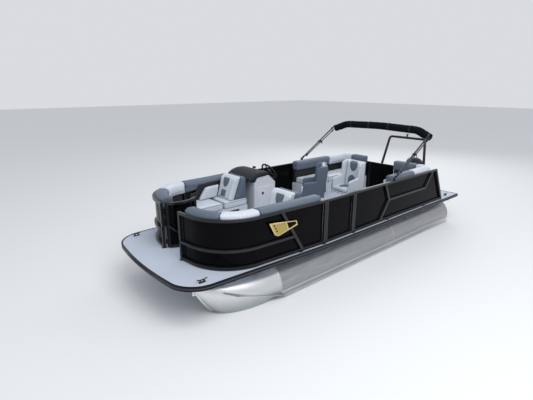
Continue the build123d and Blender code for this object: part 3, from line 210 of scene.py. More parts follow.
class Finish:
    """A material under construction: its tree, its object coordinates and its Principled shader."""

    def __init__(self, name, colour, roughness, **plain):
        self.material = bpy.data.materials.new(name)
        self.material.use_nodes = True
        self.tree = self.material.node_tree
        self.shader = self.tree.nodes["Principled BSDF"]
        self.shader.inputs["Base Color"].default_value = (*colour, 1)
        self.shader.inputs["Roughness"].default_value = roughness
        for label, value in plain.items():
            self.shader.inputs[label.replace("_", " ")].default_value = value
        self.place = self.tree.nodes.new("ShaderNodeTexCoord").outputs["Object"]

    def node(self, kind, values, **settings):
        return add_node(self.tree, kind, values, **settings)

    def wire(self, socket, label):
        """Link a socket to one of the shader's own."""
        self.tree.links.new(socket, self.shader.inputs[label])

    def group(self, tree, **values):
        """Outputs of a shader group at the object's coordinates."""
        return self.node("ShaderNodeGroup", {"Vector": self.place, **values}, node_tree=tree).outputs

    def blend(self, factor, first, second, low=0.0, high=1.0):
        """Base colour between two colours by a mask."""
        node = self.node("ShaderNodeValToRGB", {0: factor})
        for stop, place, colour in zip(node.color_ramp.elements, (low, high), (first, second)):
            stop.position = place
            stop.color = (*colour, 1)
        self.wire(node.outputs[0], "Base Color")

    def overlay(self, mask, colour):
        """Another colour over the base colour where a mask is 1."""
        under = self.shader.inputs["Base Color"].links[0].from_socket
        values = {"Factor": mask, "A": under, "B": (*colour, 1)}
        self.wire(self.node("ShaderNodeMix", values, data_type="RGBA").outputs["Result"], "Base Color")

    def gloss(self, factor, low, high):
        """Roughness between two values by a mask."""
        values = {"Value": factor, "To Min": low, "To Max": high}
        self.wire(self.node("ShaderNodeMapRange", values).outputs[0], "Roughness")

    def bump(self, height, strength, distance):
        values = {"Strength": strength, "Distance": distance, "Height": height}
        self.wire(self.node("ShaderNodeBump", values).outputs[0], "Normal")


def shade(colour, factor):
    return tuple(min(1.0, part * factor) for part in colour)


def vinyl(name, colour, worn=0.84):
    made = Finish(name, colour, 0.42, Coat_Weight=0.06, Coat_Roughness=0.35)
    mask = made.group(handling, Contrast=2.0)["Mask"]
    made.blend(mask, colour, shade(colour, worn), 0.25, 0.95)
    made.gloss(mask, 0.38, 0.56)
    made.bump(made.group(hide)["Height"], 0.35, 0.0006)
    return made.material


def rolled_sheet(name, colour, rough, squash, depth=0.0004, spread=0.12, relief=0.1):
    """Sheet metal under construction, with its rolled or polished marks."""
    made = Finish(name, colour, rough, Metallic=1.0)
    marks = made.group(rolled, Squash=squash)["Marks"]
    made.blend(marks, shade(colour, 1 - spread), shade(colour, 1 + spread), 0.3, 0.7)
    made.gloss(marks, rough - 0.05, rough + 0.09)
    made.bump(marks, relief, depth)
    return made


def sheet_metal(name, *values):
    return rolled_sheet(name, *values).material


def hull_sheet(name, colour, painted_highlight, rough):
    """Sheet metal of the tubes, with a painted highlight that makes the strakes brighter."""
    made = rolled_sheet(name, colour, rough, (0.5, 9.0, 9.0))
    made.overlay(made.group(strake_highlight)["Mask"], painted_highlight)
    return made.material


def nose_sheet(name, colour, painted_reflection, rough):
    """Polished sheet of the nose cones, with a painted reflection of the water that darkens them just above
    it.
    """
    made = rolled_sheet(name, colour, rough, (0.5, 7.0, 7.0), 0.0002, 0.03, 0.03)
    made.overlay(made.group(water_reflection)["Mask"], painted_reflection)
    return made.material


def painted(name, colour, rough, worn, coat, specular):
    made = Finish(name, colour, rough, Coat_Weight=coat, Coat_Roughness=0.05,
                  Specular_IOR_Level=specular)
    mask = made.group(handling, Contrast=2.2)["Mask"]
    made.blend(mask, colour, worn, 0.3, 1.0)
    made.gloss(mask, rough, rough + 0.12)
    made.bump(made.group(rolled, Squash=(2.0, 2.0, 2.0))["Marks"], 0.06, 0.0006)
    return made.material


def plastic(name, colour, rough, coat=0.0, grain=0.1, specular=0.5):
    made = Finish(name, colour, rough, Coat_Weight=coat, Coat_Roughness=0.1, Specular_IOR_Level=specular)
    mask = made.group(handling, Contrast=1.8)["Mask"]
    made.blend(mask, colour, shade(colour, 0.86), 0.25, 1.0)
    made.gloss(mask, rough, rough + 0.15)
    made.bump(made.group(hide)["Height"], grain, 0.0004)
    return made.material


def woven(name, colour, light, threads, depth, rough, specular=0.12):
    made = Finish(name, colour, rough, Specular_IOR_Level=specular)
    cloth = made.group(weave, Threads=threads)
    made.blend(cloth["Yarn"], colour, light, 0.3, 0.8)
    made.bump(cloth["Height"], 0.5, depth)
    mask = made.group(handling, Contrast=2.0)["Mask"]
    made.gloss(mask, rough - 0.08, rough + 0.08)
    return made.material


def glass_panel(name, colour):
    """Dark screen or gauge glass."""
    made = Finish(name, colour, 0.06, Coat_Weight=0.6, Coat_Roughness=0.02)
    mask = made.group(handling, Contrast=1.2)["Mask"]
    made.gloss(mask, 0.05, 0.14)
    return made.material


LIGHT = (0.56, 0.605, 0.67)
SLATE = (0.09, 0.118, 0.162)
# The second colour of the tubes is a painted highlight along the strakes
hull_metal = hull_sheet("hull_metal", (0.38, 0.385, 0.395), (0.78, 0.79, 0.80), 0.32)
# The second colour of the noses is a painted reflection of the dark water, strongest near the waterline
nose_metal = nose_sheet("nose_metal", (0.74, 0.75, 0.76), (0.30, 0.34, 0.34), 0.3)
weld_metal = sheet_metal("weld_metal", (0.62, 0.62, 0.63), 0.38, (8.0, 8.0, 8.0), 0.0006)
deck_mat = woven("deck_mat", (0.455, 0.51, 0.60), (0.55, 0.60, 0.69), 160.0, 0.0012, 0.82)
rail_black = painted("rail_black", (0.007, 0.008, 0.010), 0.3, (0.014, 0.015, 0.018), 0.45, 0.12)
panel_black = painted("panel_black", (0.0015, 0.0015, 0.002), 0.1, (0.003, 0.003, 0.0035), 0.0, 0.05)
edge_black = plastic("edge_black", (0.005, 0.005, 0.009), 0.4, 0.25, 0.1, 0.12)
edge_insert = plastic("edge_insert", (0.05, 0.05, 0.062), 0.4, 0.0, 0.1, 0.3)
vinyl_slate = vinyl("vinyl_slate", SLATE)
vinyl_light = vinyl("vinyl_light", LIGHT)
vinyl_black = vinyl("vinyl_black", (0.006, 0.006, 0.008), 1.6)
piping_grey = vinyl("piping_grey", (0.22, 0.25, 0.29))
thread_light = plastic("thread_light", (0.55, 0.57, 0.60), 0.7)
thread_dark = plastic("thread_dark", (0.05, 0.055, 0.065), 0.7)
moulding_light = plastic("moulding_light", (0.56, 0.59, 0.64), 0.3, 0.3)
moulding_dark = plastic("moulding_dark", (0.018, 0.020, 0.028), 0.5, 0.0, 0.3, 0.18)
cloth_black = woven("cloth_black", (0.003, 0.004, 0.006), (0.008, 0.011, 0.016), 260.0, 0.0012, 0.88, 0.05)
webbing_black = woven("webbing_black", (0.010, 0.010, 0.012), (0.024, 0.024, 0.028), 420.0, 0.0008, 0.7)
cowl_black = painted("cowl_black", (0.005, 0.005, 0.006), 0.16, (0.010, 0.010, 0.011), 0.3, 0.2)
motor_dark = painted("motor_dark", (0.012, 0.012, 0.014), 0.35, (0.03, 0.03, 0.032), 0.0, 0.35)
steel = sheet_metal("steel", (0.66, 0.66, 0.67), 0.2, (9.0, 9.0, 9.0), 0.0002, 0.06)
canopy_tube = sheet_metal("canopy_tube", (0.08, 0.09, 0.11), 0.3, (6.0, 6.0, 6.0), 0.0003)
gold_plate = sheet_metal("gold_plate", (0.70, 0.56, 0.24), 0.26, (5.0, 2.0, 5.0), 0.0004, 0.1)
gold_face = sheet_metal("gold_face", (0.46, 0.37, 0.13), 0.36, (30.0, 30.0, 30.0), 0.0008, 0.22, 0.5)
rubber_black = plastic("rubber_black", (0.012, 0.012, 0.013), 0.72, 0.0, 0.35, 0.3)
glass_dark = glass_panel("glass_dark", (0.008, 0.010, 0.013))
dial_white = plastic("dial_white", (0.62, 0.63, 0.64), 0.4)
pointer_red = plastic("pointer_red", (0.55, 0.03, 0.02), 0.35)

finish_of_slot = {
    "hull_metal": hull_metal, "deck_mat": deck_mat, "rail_black": rail_black,
    "panel_black": panel_black, "edge_black": edge_black, "vinyl_slate": vinyl_slate,
    "vinyl_light": vinyl_light, "vinyl_black": vinyl_black, "moulding_light": moulding_light,
    "moulding_dark": moulding_dark, "cloth_black": cloth_black, "cowl_black": cowl_black,
    "motor_dark": motor_dark, "steel": steel,
}
finish_of_node = {
    "pontoon_nose_port": nose_metal, "pontoon_nose_starboard": nose_metal,
    "canopy_bows": canopy_tube, "steering_wheel": rubber_black, "cleats": rail_black,
}
for part in frame["record"]["subparts"]:
    for slot in cad[part["node"]].material_slots:
        slot.material = finish_of_node.get(part["node"], finish_of_slot[part["material_slot"]])


# Mesh helpers

MERGE = 1e-6
CAD_MERGE = 1e-5


def piece(name, mesh, material, body):
    """A finished object that rides on a body."""
    made = bpy.data.objects.new(name, mesh)
    scene.collection.objects.link(made)
    if not mesh.materials:
        mesh.materials.append(material)
    mesh.polygons.foreach_set("use_smooth", [True] * len(mesh.polygons))
    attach(made, body)
    return made


def mesh_of(name, points, faces):
    mesh = bpy.data.meshes.new(name)
    mesh.from_pydata([tuple(p) for p in points], [], faces)
    mesh.validate()
    return mesh


def from_bmesh(name, bm):
    bmesh.ops.recalc_face_normals(bm, faces=bm.faces)
    mesh = bpy.data.meshes.new(name)
    bm.to_mesh(mesh)
    bm.free()
    return mesh


def closed_mesh(name, points, faces, merge=None):
    """Closed mesh from points and faces, with its faces turned outward."""
    bm = bmesh.new()
    raw = mesh_of(name + "_raw", points, faces)
    bm.from_mesh(raw)
    bpy.data.meshes.remove(raw)
    if merge:
        bmesh.ops.remove_doubles(bm, verts=bm.verts, dist=merge)
    return from_bmesh(name, bm)


def circle(count, start=0.0):
    """Cosine and sine at even turns."""
    turns = [start + 2 * math.pi * i / count for i in range(count)]
    return [(math.cos(turn), math.sin(turn)) for turn in turns]


def ring_frames(points, closed):
    """Directions across a path at each point, without twist."""
    points = [Vector(p) for p in points]
    count = len(points)
    frames = []
    side = None
    for i, p in enumerate(points):
        if closed:
            run = points[(i + 1) % count] - points[i - 1]
        else:
            run = points[min(i + 1, count - 1)] - points[max(i - 1, 0)]
        run.normalize()
        if side is None:
            side = run.orthogonal().normalized()
            if abs(run.z) < 0.9:
                side = run.cross(UP).normalized()
        side = (side - run * side.dot(run)).normalized()
        frames.append((p, side, run.cross(side).normalized()))
    return frames


def tube_mesh(name, points, radius, sides, closed=False):
    """Tube along points; radius is one value or one for each point."""
    frames = ring_frames(points, closed)
    count = len(frames)
    radii = radius if isinstance(radius, (list, tuple)) else [radius] * count
    verts, faces = [], []
    for (p, side, up), r in zip(frames, radii):
        verts += [p + side * (r * c) + up * (r * s) for c, s in circle(sides)]
    last = count if closed else count - 1
    for i in range(last):
        for k in range(sides):
            a, b = i * sides + k, i * sides + (k + 1) % sides
            c, d = ((i + 1) % count) * sides + (k + 1) % sides, ((i + 1) % count) * sides + k
            faces.append((a, b, c, d))
    if not closed:
        faces.append(tuple(reversed(range(sides))))
        faces.append(tuple(range((count - 1) * sides, count * sides)))
    return closed_mesh(name, verts, faces)


def joined(name, meshes):
    """One mesh from several."""
    bm = bmesh.new()
    for mesh in meshes:
        bm.from_mesh(mesh)
        bpy.data.meshes.remove(mesh)
    made = bpy.data.meshes.new(name)
    bm.to_mesh(made)
    bm.free()
    return made


def together(name, meshes, material, body):
    """One piece from several meshes."""
    return piece(name, joined(name, meshes), material, body)


def bevelled(bm, edges, offset, segments):
    bmesh.ops.bevel(bm, geom=edges, offset=offset, segments=segments, profile=0.5, affect="EDGES",
                    clamp_overlap=True)


def rounded_block(name, low, high, bevel, segments=3, place=None):
    """Box between two corners with rounded edges."""
    bm = bmesh.new()
    bmesh.ops.create_cube(bm, size=1.0)
    low, high = Vector(low), Vector(high)
    for v in bm.verts:
        v.co = Vector(((v.co[i] + 0.5) * (high[i] - low[i]) + low[i] for i in range(3)))
    bevelled(bm, bm.edges[:], bevel, segments)
    if place is not None:
        bmesh.ops.transform(bm, matrix=place, verts=bm.verts)
    return from_bmesh(name, bm)


def disc(name, centre, axis, radius, height, bevel, sides):
    """Short round boss that stands on centre along axis."""
    profile = [(0.0, 0.0), (radius, 0.0), (radius, height - bevel), (radius - bevel, height),
               (0.0, height)]
    return lathe(name, centre, axis, profile, sides)


def lathe(name, centre, axis, profile, sides):
    """Turned piece: profile of (radius, height) pairs about an axis from centre."""
    turn = UP.rotation_difference(Vector(axis).normalized()).to_matrix()
    verts, faces = [], []
    for r, h in profile:
        verts += [centre + turn @ Vector((r * c, r * s, h)) for c, s in circle(sides)]
    for i in range(len(profile) - 1):
        for k in range(sides):
            a, b = i * sides + k, i * sides + (k + 1) % sides
            faces.append((a, b, b + sides, a + sides))
    return closed_mesh(name, verts, faces, MERGE)


def prism(name, outline, depth, place, bevel):
    """Flat outline of (x, y) pairs, made depth thick about its plane, then placed by a matrix."""
    bm = bmesh.new()
    low = [bm.verts.new((x, y, -depth / 2)) for x, y in outline]
    high = [bm.verts.new((x, y, depth / 2)) for x, y in outline]
    count = len(outline)
    bm.faces.new(list(reversed(low)))
    bm.faces.new(high)
    for i in range(count):
        bm.faces.new((low[i], low[(i + 1) % count], high[(i + 1) % count], high[i]))
    level = [e for e in bm.edges if abs(e.verts[0].co.z - e.verts[1].co.z) < MERGE]
    bevelled(bm, level, bevel, 3)
    bmesh.ops.transform(bm, matrix=place, verts=bm.verts)
    return from_bmesh(name, bm)


def normal_of(place):
    """Direction of a placing matrix's z."""
    return place.to_3x3() @ UP


def basis(origin, x_dir, y_dir):
    """Matrix that puts a local x and y plane at origin."""
    x_dir = Vector(x_dir).normalized()
    z_dir = x_dir.cross(Vector(y_dir)).normalized()
    y_dir = z_dir.cross(x_dir)
    made = Matrix((x_dir, y_dir, z_dir)).transposed().to_4x4()
    made.translation = Vector(origin)
    return made


# Lines that pieces follow

BOW_CORNER_X = 7.035
BOW_CORNER_R = 0.42
BOW_CROWN = 0.13
CROWN_R = 3.6
TAPER_ROUND = 0.3
NOTCH_DEPTH = 0.26
NOTCH_HALF = 0.43
SHARP = 0.004
ARC_STEP = 0.02


def filleted(corners, radii):
    """Points along straight runs joined by arcs; one radius for each inner corner."""
    corners = [Vector(c) for c in corners]
    line = [corners[0]]
    for before, corner, after, radius in zip(corners, corners[1:], corners[2:], radii):
        back = (before - corner).normalized()
        ahead = (after - corner).normalized()
        half = back.angle(ahead) / 2
        reach = radius / math.tan(half)
        centre = corner + (back + ahead).normalized() * (radius / math.sin(half))
        count = max(2, int(radius * (math.pi - 2 * half) / ARC_STEP))
        first = (corner + back * reach - centre).normalized()
        turn = math.pi - 2 * half
        for i in range(count + 1):
            angle = turn * i / count
            line.append(centre + (first * math.cos(angle) - back * math.sin(angle)) * radius)
    return line + [corners[-1]]


def fence_y(x):
    """Half width of the fence's centre line at a place along the deck."""
    return FENCE_Y - max(0.0, x - TAPER_X) * TAPER


def edge_line(margin, z):
    """Deck edge grown by a margin, from the stern notch round the bow and back."""
    half = DECK_HALF + margin
    corner = (BOW_CORNER_X + margin, DECK_HALF - (BOW_CORNER_X - TAPER_X) * TAPER + margin)
    notch = NOTCH_HALF - margin
    stern = [(NOTCH_DEPTH - margin, notch), (-margin, notch), (-margin, half), (TAPER_X, half)]
    side = [at(x, y, z) for x, y in stern + [corner]]
    apex = at(BOW_CORNER_X + BOW_CROWN + margin, 0, z)
    other = [Vector((p.x, -p.y, p.z)) for p in reversed(side)]
    turns = [SHARP, SHARP, TAPER_ROUND, BOW_CORNER_R + margin]
    return filleted(side + [apex] + other, turns + [CROWN_R] + turns[::-1])


def strip(name, points, width, thick, across=None):
    """Flat strip along points: width along across (up unless given), thick to its side."""
    verts, faces = [], []
    count = len(points)
    for i, p in enumerate(points):
        run = (points[min(i + 1, count - 1)] - points[max(i - 1, 0)]).normalized()
        wide = Vector(across or (0, 0, 1))
        wide = (wide - run * wide.dot(run)).normalized()
        side = run.cross(wide)
        for w, s in ((-1, -1), (1, -1), (1, 1), (-1, 1)):
            verts.append(p + wide * (w * width / 2) + side * (s * thick / 2))
    for i in range(count - 1):
        for k in range(4):
            a, b = i * 4 + k, i * 4 + (k + 1) % 4
            faces.append((a, b, b + 4, a + 4))
    faces += [(3, 2, 1, 0), tuple(range(4 * count - 4, 4 * count))]
    return closed_mesh(name, verts, faces)


# Geometry node builders


def geometry_tree(name, source, values, output):
    """Tree that takes a source geometry, some lengths and a material."""
    tree = bpy.data.node_groups.new(name, "GeometryNodeTree")
    add_socket(tree, source, "Geometry")
    for label, value in values.items():
        add_socket(tree, label, "Float", value)
    add_socket(tree, "Material", "Material")
    add_socket(tree, output, "Geometry", None, "OUTPUT")
    return tree, tree.nodes.new("NodeGroupInput").outputs


def finish_tree(tree, points, instance, direction, scale, material):
    """Instances on points along a direction, made real and given their material."""
    turn = add_node(tree, "FunctionNodeAlignRotationToVector", {"Vector": direction}, axis="Z")
    spots = add_node(tree, "GeometryNodeInstanceOnPoints", {
        "Points": points, "Instance": instance, "Rotation": turn.outputs["Rotation"], "Scale": scale})
    real = add_node(tree, "GeometryNodeRealizeInstances", {0: spots.outputs["Instances"]})
    coat = add_node(tree, "GeometryNodeSetMaterial", {"Geometry": real.outputs[0], "Material": material})
    tree.links.new(coat.outputs[0], tree.nodes.new("NodeGroupOutput").inputs[0])
    return tree


def make_fastener_tree():
    """Pan head screws on points, each turned along the point's aim attribute."""
    usual = {"Head Radius": 0.005, "Head Height": 0.003}
    tree, given = geometry_tree("fasteners_on_points", "Points", usual, "Screws")
    crown = math_node(tree, "MULTIPLY", given["Head Radius"], 0.68)
    head = add_node(tree, "GeometryNodeMeshCone", {
        "Vertices": 12, "Radius Top": crown, "Radius Bottom": given["Head Radius"],
        "Depth": given["Head Height"]})
    aim = add_node(tree, "GeometryNodeInputNamedAttribute", {"Name": "aim"}, data_type="FLOAT_VECTOR")
    return finish_tree(tree, given["Points"], head.outputs["Mesh"], aim.outputs["Attribute"],
                       (1.0, 1.0, 1.0), given["Material"])


def make_stitch_tree():
    """Stitches of thread along lines: short round-ended bars turned along each line."""
    usual = {"Pitch": 0.008, "Thread Radius": 0.0009}
    tree, given = geometry_tree("stitches_along_lines", "Lines", usual, "Stitches")
    curve = add_node(tree, "GeometryNodeMeshToCurve", {"Mesh": given["Lines"]})
    values = {"Curve": curve.outputs["Curve"], "Length": given["Pitch"]}
    spots = add_node(tree, "GeometryNodeCurveToPoints", values, mode="LENGTH").outputs
    values = {"Segments": 6, "Rings": 4, "Radius": given["Thread Radius"]}
    bar = add_node(tree, "GeometryNodeMeshUVSphere", values)
    half = math_node(tree, "MULTIPLY", given["Pitch"], 0.36)
    reach = math_node(tree, "DIVIDE", half, given["Thread Radius"])
    long = add_node(tree, "ShaderNodeCombineXYZ", {0: 1.0, 1: 1.0, 2: reach})
    return finish_tree(tree, spots["Points"], bar.outputs["Mesh"], spots["Tangent"],
                       long.outputs[0], given["Material"])


def grown(name, mesh, tree, values, body):
    """Run a geometry tree on a mesh and keep the result as a plain piece on a body."""
    holder = bpy.data.objects.new(name + "_holder", mesh)
    scene.collection.objects.link(holder)
    modifier = holder.modifiers.new("grow", "NODES")
    modifier.node_group = tree
    for socket in tree.interface.items_tree:
        if socket.item_type == "SOCKET" and socket.in_out == "INPUT" and socket.name in values:
            modifier[socket.identifier] = values[socket.name]
    result = evaluated_mesh(holder)
    bpy.data.objects.remove(holder)
    result.name = name
    return piece(name, result, values["Material"], body)


screw_tree = make_fastener_tree()
stitch_tree = make_stitch_tree()


def screws(name, spots, body, material, radius, height):
    """Screw heads at (place, direction) pairs."""
    mesh = mesh_of(name + "_points", [p for p, aim in spots], [])
    aims = mesh.attributes.new("aim", "FLOAT_VECTOR", "POINT")
    aims.data.foreach_set("vector", [c for p, aim in spots for c in aim])
    values = {"Head Radius": radius, "Head Height": height, "Material": material}
    return grown(name, mesh, screw_tree, values, body)


def stitches(name, lines, body, material, pitch=0.009, radius=0.0011):
    """Thread along several lines of points."""
    points, edges = [], []
    for line in lines:
        start = len(points)
        points += [tuple(p) for p in line]
        edges += [(start + i, start + i + 1) for i in range(len(line) - 1)]
    mesh = bpy.data.meshes.new(name + "_lines")
    mesh.from_pydata(points, edges, [])
    values = {"Pitch": pitch, "Thread Radius": radius, "Material": material}
    return grown(name, mesh, stitch_tree, values, body)


# Padded pieces

CLOTH_FRAMES = 14
PRESSURE = 4.0
PAD_FACES_KEPT = 0.33
SPLIT_GAP = 0.003
WELT_R = 0.0035
CLOSING_GAP = 0.03
QUILT_PITCH = 0.075
INLAY_RINGS = 7
INLAY_THICK = 0.004
INLAY_WELT_R = 0.0026
ARCH_STEPS = 12


def loose_parts(node):
    """The closed shells of a CAD node as separate meshes."""
    bm = bmesh.new()
    bm.from_mesh(cad[node].data)
    bmesh.ops.remove_doubles(bm, verts=bm.verts, dist=CAD_MERGE)
    left = set(bm.faces)
    parts = []
    while left:
        stack = [left.pop()]
        found = set(stack)
        while stack:
            face = stack.pop()
            for edge in face.edges:
                for other in edge.link_faces:
                    if other in left:
                        left.remove(other)
                        found.add(other)
                        stack.append(other)
        index, verts, faces = {}, [], []
        for face in found:
            corner = []
            for v in face.verts:
                if v not in index:
                    index[v] = len(verts)
                    verts.append(v.co.copy())
                corner.append(index[v])
            faces.append(corner)
        parts.append(mesh_of(node + "_part", verts, faces))
    bm.free()
    parts.sort(key=lambda m: tuple(round(sum(v.co[i] for v in m.vertices) / len(m.vertices), 2)
                                   for i in range(3)))
    return parts


def evaluated_mesh(obj):
    graph = bpy.context.evaluated_depsgraph_get()
    return bpy.data.meshes.new_from_object(obj.evaluated_get(graph))


def read_vectors(items, label):
    """Rows of x, y and z read from vertices or normals."""
    flat = np.empty(len(items) * 3, np.float64)
    items.foreach_get(label, flat)
    return flat.reshape(-1, 3)


def coordinates(mesh):
    return read_vectors(mesh.vertices, "co")


def normals(mesh):
    return read_vectors(mesh.vertex_normals, "vector")


def set_coordinates(mesh, points):
    mesh.vertices.foreach_set("co", points.astype(np.float32).ravel())
    mesh.update()


def modified(holder, kind, **settings):
    """Mesh of an object under one modifier, which is taken off again."""
    modifier = holder.modifiers.new(kind.lower(), kind)
    for label, value in settings.items():
        setattr(modifier, label, value)
    mesh = evaluated_mesh(holder)
    holder.modifiers.clear()
    return mesh


def blown_up(holder, rest, cap):
    """Blow the holder's mesh up as cloth, with no point moved by more than cap."""
    cloth = holder.modifiers.new("cloth", "CLOTH")
    cloth.settings.use_pressure = True
    cloth.settings.uniform_pressure_force = PRESSURE
    cloth.settings.effector_weights.gravity = 0.0
    cloth.settings.quality = 3
    cloth.collision_settings.use_collision = False
    cloth.point_cache.frame_start = 1
    cloth.point_cache.frame_end = CLOTH_FRAMES
    for number in range(1, CLOTH_FRAMES + 1):
        scene.frame_set(number)
    moved = coordinates(evaluated_mesh(holder)) - rest
    length = np.linalg.norm(moved, axis=1, keepdims=True)
    moved *= np.minimum(1.0, cap / np.maximum(length, 1e-9))
    scene.frame_set(1)
    holder.modifiers.clear()
    set_coordinates(holder.data, rest + moved)


def stuffed(name, shell, voxel, shrink, cap):
    """Cushion mesh from a closed shell: remeshed, blown up as cloth, held to cap, and subdivided."""
    holder = bpy.data.objects.new(name + "_shell", shell)
    scene.collection.objects.link(holder)
    mesh = modified(holder, "REMESH", mode="VOXEL", voxel_size=voxel)
    set_coordinates(mesh, coordinates(mesh) - normals(mesh) * shrink)
    holder.data = mesh
    holder.data = modified(holder, "SMOOTH", factor=0.5, iterations=4)
    rest = coordinates(holder.data)
    blown_up(holder, rest, cap)
    mesh = modified(holder, "SUBSURF", levels=1, render_levels=1)
    bpy.data.objects.remove(holder)
    mesh.name = name
    return mesh


def cut_loops(mesh, point, normal):
    """Where a plane cuts a mesh: closed or open lines of points."""
    bm = bmesh.new()
    bm.from_mesh(mesh)
    cut = bmesh.ops.bisect_plane(bm, geom=bm.verts[:] + bm.edges[:] + bm.faces[:],
                                 plane_co=point, plane_no=normal, dist=MERGE)["geom_cut"]
    edges = {e for e in cut if isinstance(e, bmesh.types.BMEdge)}
    loops = []
    while edges:
        edge = min(edges, key=lambda e: e.index)
        edges.remove(edge)
        line = [edge.verts[0], edge.verts[1]]
        while ahead := next((e for e in line[-1].link_edges if e in edges), None):
            edges.remove(ahead)
            line.append(ahead.other_vert(line[-1]))
        loops.append([v.co.copy() for v in line])
    bm.free()
    return [loop for loop in loops if len(loop) > 8]


def resampled(points, step, closed):
    """Points at even spacing along a line."""
    points = [Vector(p) for p in points]
    if closed and (points[0] - points[-1]).length > MERGE:
        points.append(points[0])
    lengths = [0.0]
    for a, b in zip(points, points[1:]):
        lengths.append(lengths[-1] + (b - a).length)
    count = max(3, int(lengths[-1] / step))
    spots = np.linspace(0, lengths[-1], count + 1)[: count if closed else count + 1]
    made = [np.interp(spots, lengths, [p[i] for p in points]) for i in range(3)]
    return [Vector(p) for p in zip(*made)]


def grooved(mesh, point, normal, depth, width):
    """Draw the surface in along a plane, as a sewn seam does."""
    points = coordinates(mesh)
    distance = (points - np.array(point)) @ np.array(Vector(normal).normalized())
    amount = depth * np.exp(-((distance / width) ** 2))
    set_coordinates(mesh, points - normals(mesh) * amount[:, None])


def welts(name, mesh, height, material):
    """Piping round a padded mesh of the hull at a height, one object for all of it."""
    tubes = []
    for loop in cut_loops(mesh, (0, 0, height), UP):
        closed = (loop[0] - loop[-1]).length < CLOSING_GAP
        line = resampled(loop, WELT_R * 3, closed)
        if len(line) > 4:
            tubes.append(tube_mesh(name, line, WELT_R, 6, closed))
    return together(name + "_welt", tubes, material, "hull")


padded_pieces = []


def pad(name, shell, slot, body, nodes, voxel, shrink, cap):
    """A padded piece on a body, standing for CAD nodes."""
    made = piece(name, stuffed(name, shell, voxel, shrink, cap), finish_of_slot[slot], body)
    if nodes:
        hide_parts(*nodes)
    padded_pieces.append(made)
    return made


def thinned(made, share):
    """Fewer faces on a finished cushion, most of them where it bends."""
    mesh = modified(made, "DECIMATE", ratio=share)
    mesh.name = made.data.name
    made.data = mesh


def split_shell(mesh, point, normal):
    """Two closed shells from one, the first on the far side of the plane's normal."""
    halves = []
    for way in (-1, 1):
        bm = bmesh.new()
        bm.from_mesh(mesh)
        outward = Vector(normal).normalized() * -way
        bmesh.ops.bisect_plane(bm, geom=bm.verts[:] + bm.edges[:] + bm.faces[:], clear_outer=True,
                               plane_co=Vector(point) - outward * SPLIT_GAP / 2, plane_no=outward)
        bmesh.ops.remove_doubles(bm, verts=bm.verts, dist=CAD_MERGE)
        bmesh.ops.holes_fill(bm, edges=[e for e in bm.edges if e.is_boundary], sides=0)
        halves.append(from_bmesh(mesh.name + "_half", bm))
    return halves


def middle(mesh):
    points = coordinates(mesh)
    return Vector((points.min(axis=0) + points.max(axis=0)) / 2)


def beside_fence(name, outline, inset, thick, side):
    """Closed shell from an outline in x and z, thick inboard from inset within the fence line."""
    inner = [at(x, side * (fence_y(x) - inset - thick), z) for x, z in outline]
    outer = [at(x, side * (fence_y(x) - inset), z) for x, z in outline]
    count = len(outline)
    faces = [tuple(range(count)), tuple(range(2 * count - 1, count - 1, -1))]
    faces += [(i, (i + 1) % count, (i + 1) % count + count, i + count) for i in range(count)]
    return closed_mesh(name + "_shell", inner + outer, faces)


def quilted(mesh, depth, width):
    """Diamond quilting: two families of slanted seams drawn into the surface."""
    points = coordinates(mesh)
    run = points[:, 0] + np.abs(points[:, 1])
    amount = np.zeros(len(points))
    for slant in (1.0, -1.0):
        phase = (run + slant * points[:, 2]) / QUILT_PITCH
        distance = np.abs(phase - np.round(phase)) * QUILT_PITCH
        amount = np.maximum(amount, np.exp(-((distance / width) ** 2)))
    set_coordinates(mesh, points - normals(mesh) * (depth * amount)[:, None])


def inlay(name, target, place, outline, lift, body):
    """Sewn-in slate panel with a light welt, laid on a padded mesh along the place's -z.

    The outline is in the place's x and y.
    """
    rings = INLAY_RINGS
    tree = BVHTree.FromPolygons([v.co for v in target.vertices], [p.vertices for p in target.polygons])
    inward = -normal_of(place)
    outline = [Vector((x, y, 0)) for x, y in outline]
    centre = sum(outline, Vector()) / len(outline)
    line = resampled([*outline, outline[0]], 0.012, True)
    count = len(line)

    def surface(spot):
        return tree.ray_cast(place @ (spot + UP * 0.6), inward)[0]

    front, back = [], []
    for ring in range(1, rings + 1):
        share = ring / rings
        for p in line:
            spot = centre + (p - centre) * share
            found = surface(spot)
            if found is None:
                found = surface(centre + (p - centre) * share * 0.9) or place @ spot
            rise = lift * (1 - share ** 8) - 0.0008 * share ** 8
            front.append(found - inward * rise)
            back.append(found + inward * INLAY_THICK)
    top = surface(centre)
    points = front + back + [top - inward * lift, top + inward * INLAY_THICK]
    faces = []
    shift = rings * count
    for ring in range(rings - 1):
        for i in range(count):
            a, b = ring * count + i, ring * count + (i + 1) % count
            faces.append((a, b, b + count, a + count))
            faces.append((a + shift, a + count + shift, b + count + shift, b + shift))
    rim = (rings - 1) * count
    for i in range(count):
        j = (i + 1) % count
        faces.append((rim + i, rim + j, rim + j + shift, rim + i + shift))
        faces.append((2 * shift, j, i))
        faces.append((2 * shift + 1, shift + i, shift + j))
    made = piece(name, closed_mesh(name, points, faces), vinyl_slate, body)
    edge = [p - inward * 0.001 for p in front[rim:rim + count]]
    welt = tube_mesh(name + "_welt", edge, INLAY_WELT_R, 6, True)
    piece(name + "_welt", welt, thread_light, body)


def arch(width, height, shoulder):
    """Outline with a flat foot, upright sides to the shoulder and a round head."""
    half = width / 2
    turns = [math.pi * i / ARCH_STEPS for i in range(ARCH_STEPS + 1)]
    crown = [(half * math.cos(t), shoulder + (height - shoulder) * math.sin(t)) for t in turns]
    return [(-half, 0.0), (half, 0.0), *crown]


def raised(outline, height, way=1):
    """The outline at a height, and turned half round where way is -1."""
    return [(way * u, height + way * v) for u, v in outline]


# Seats

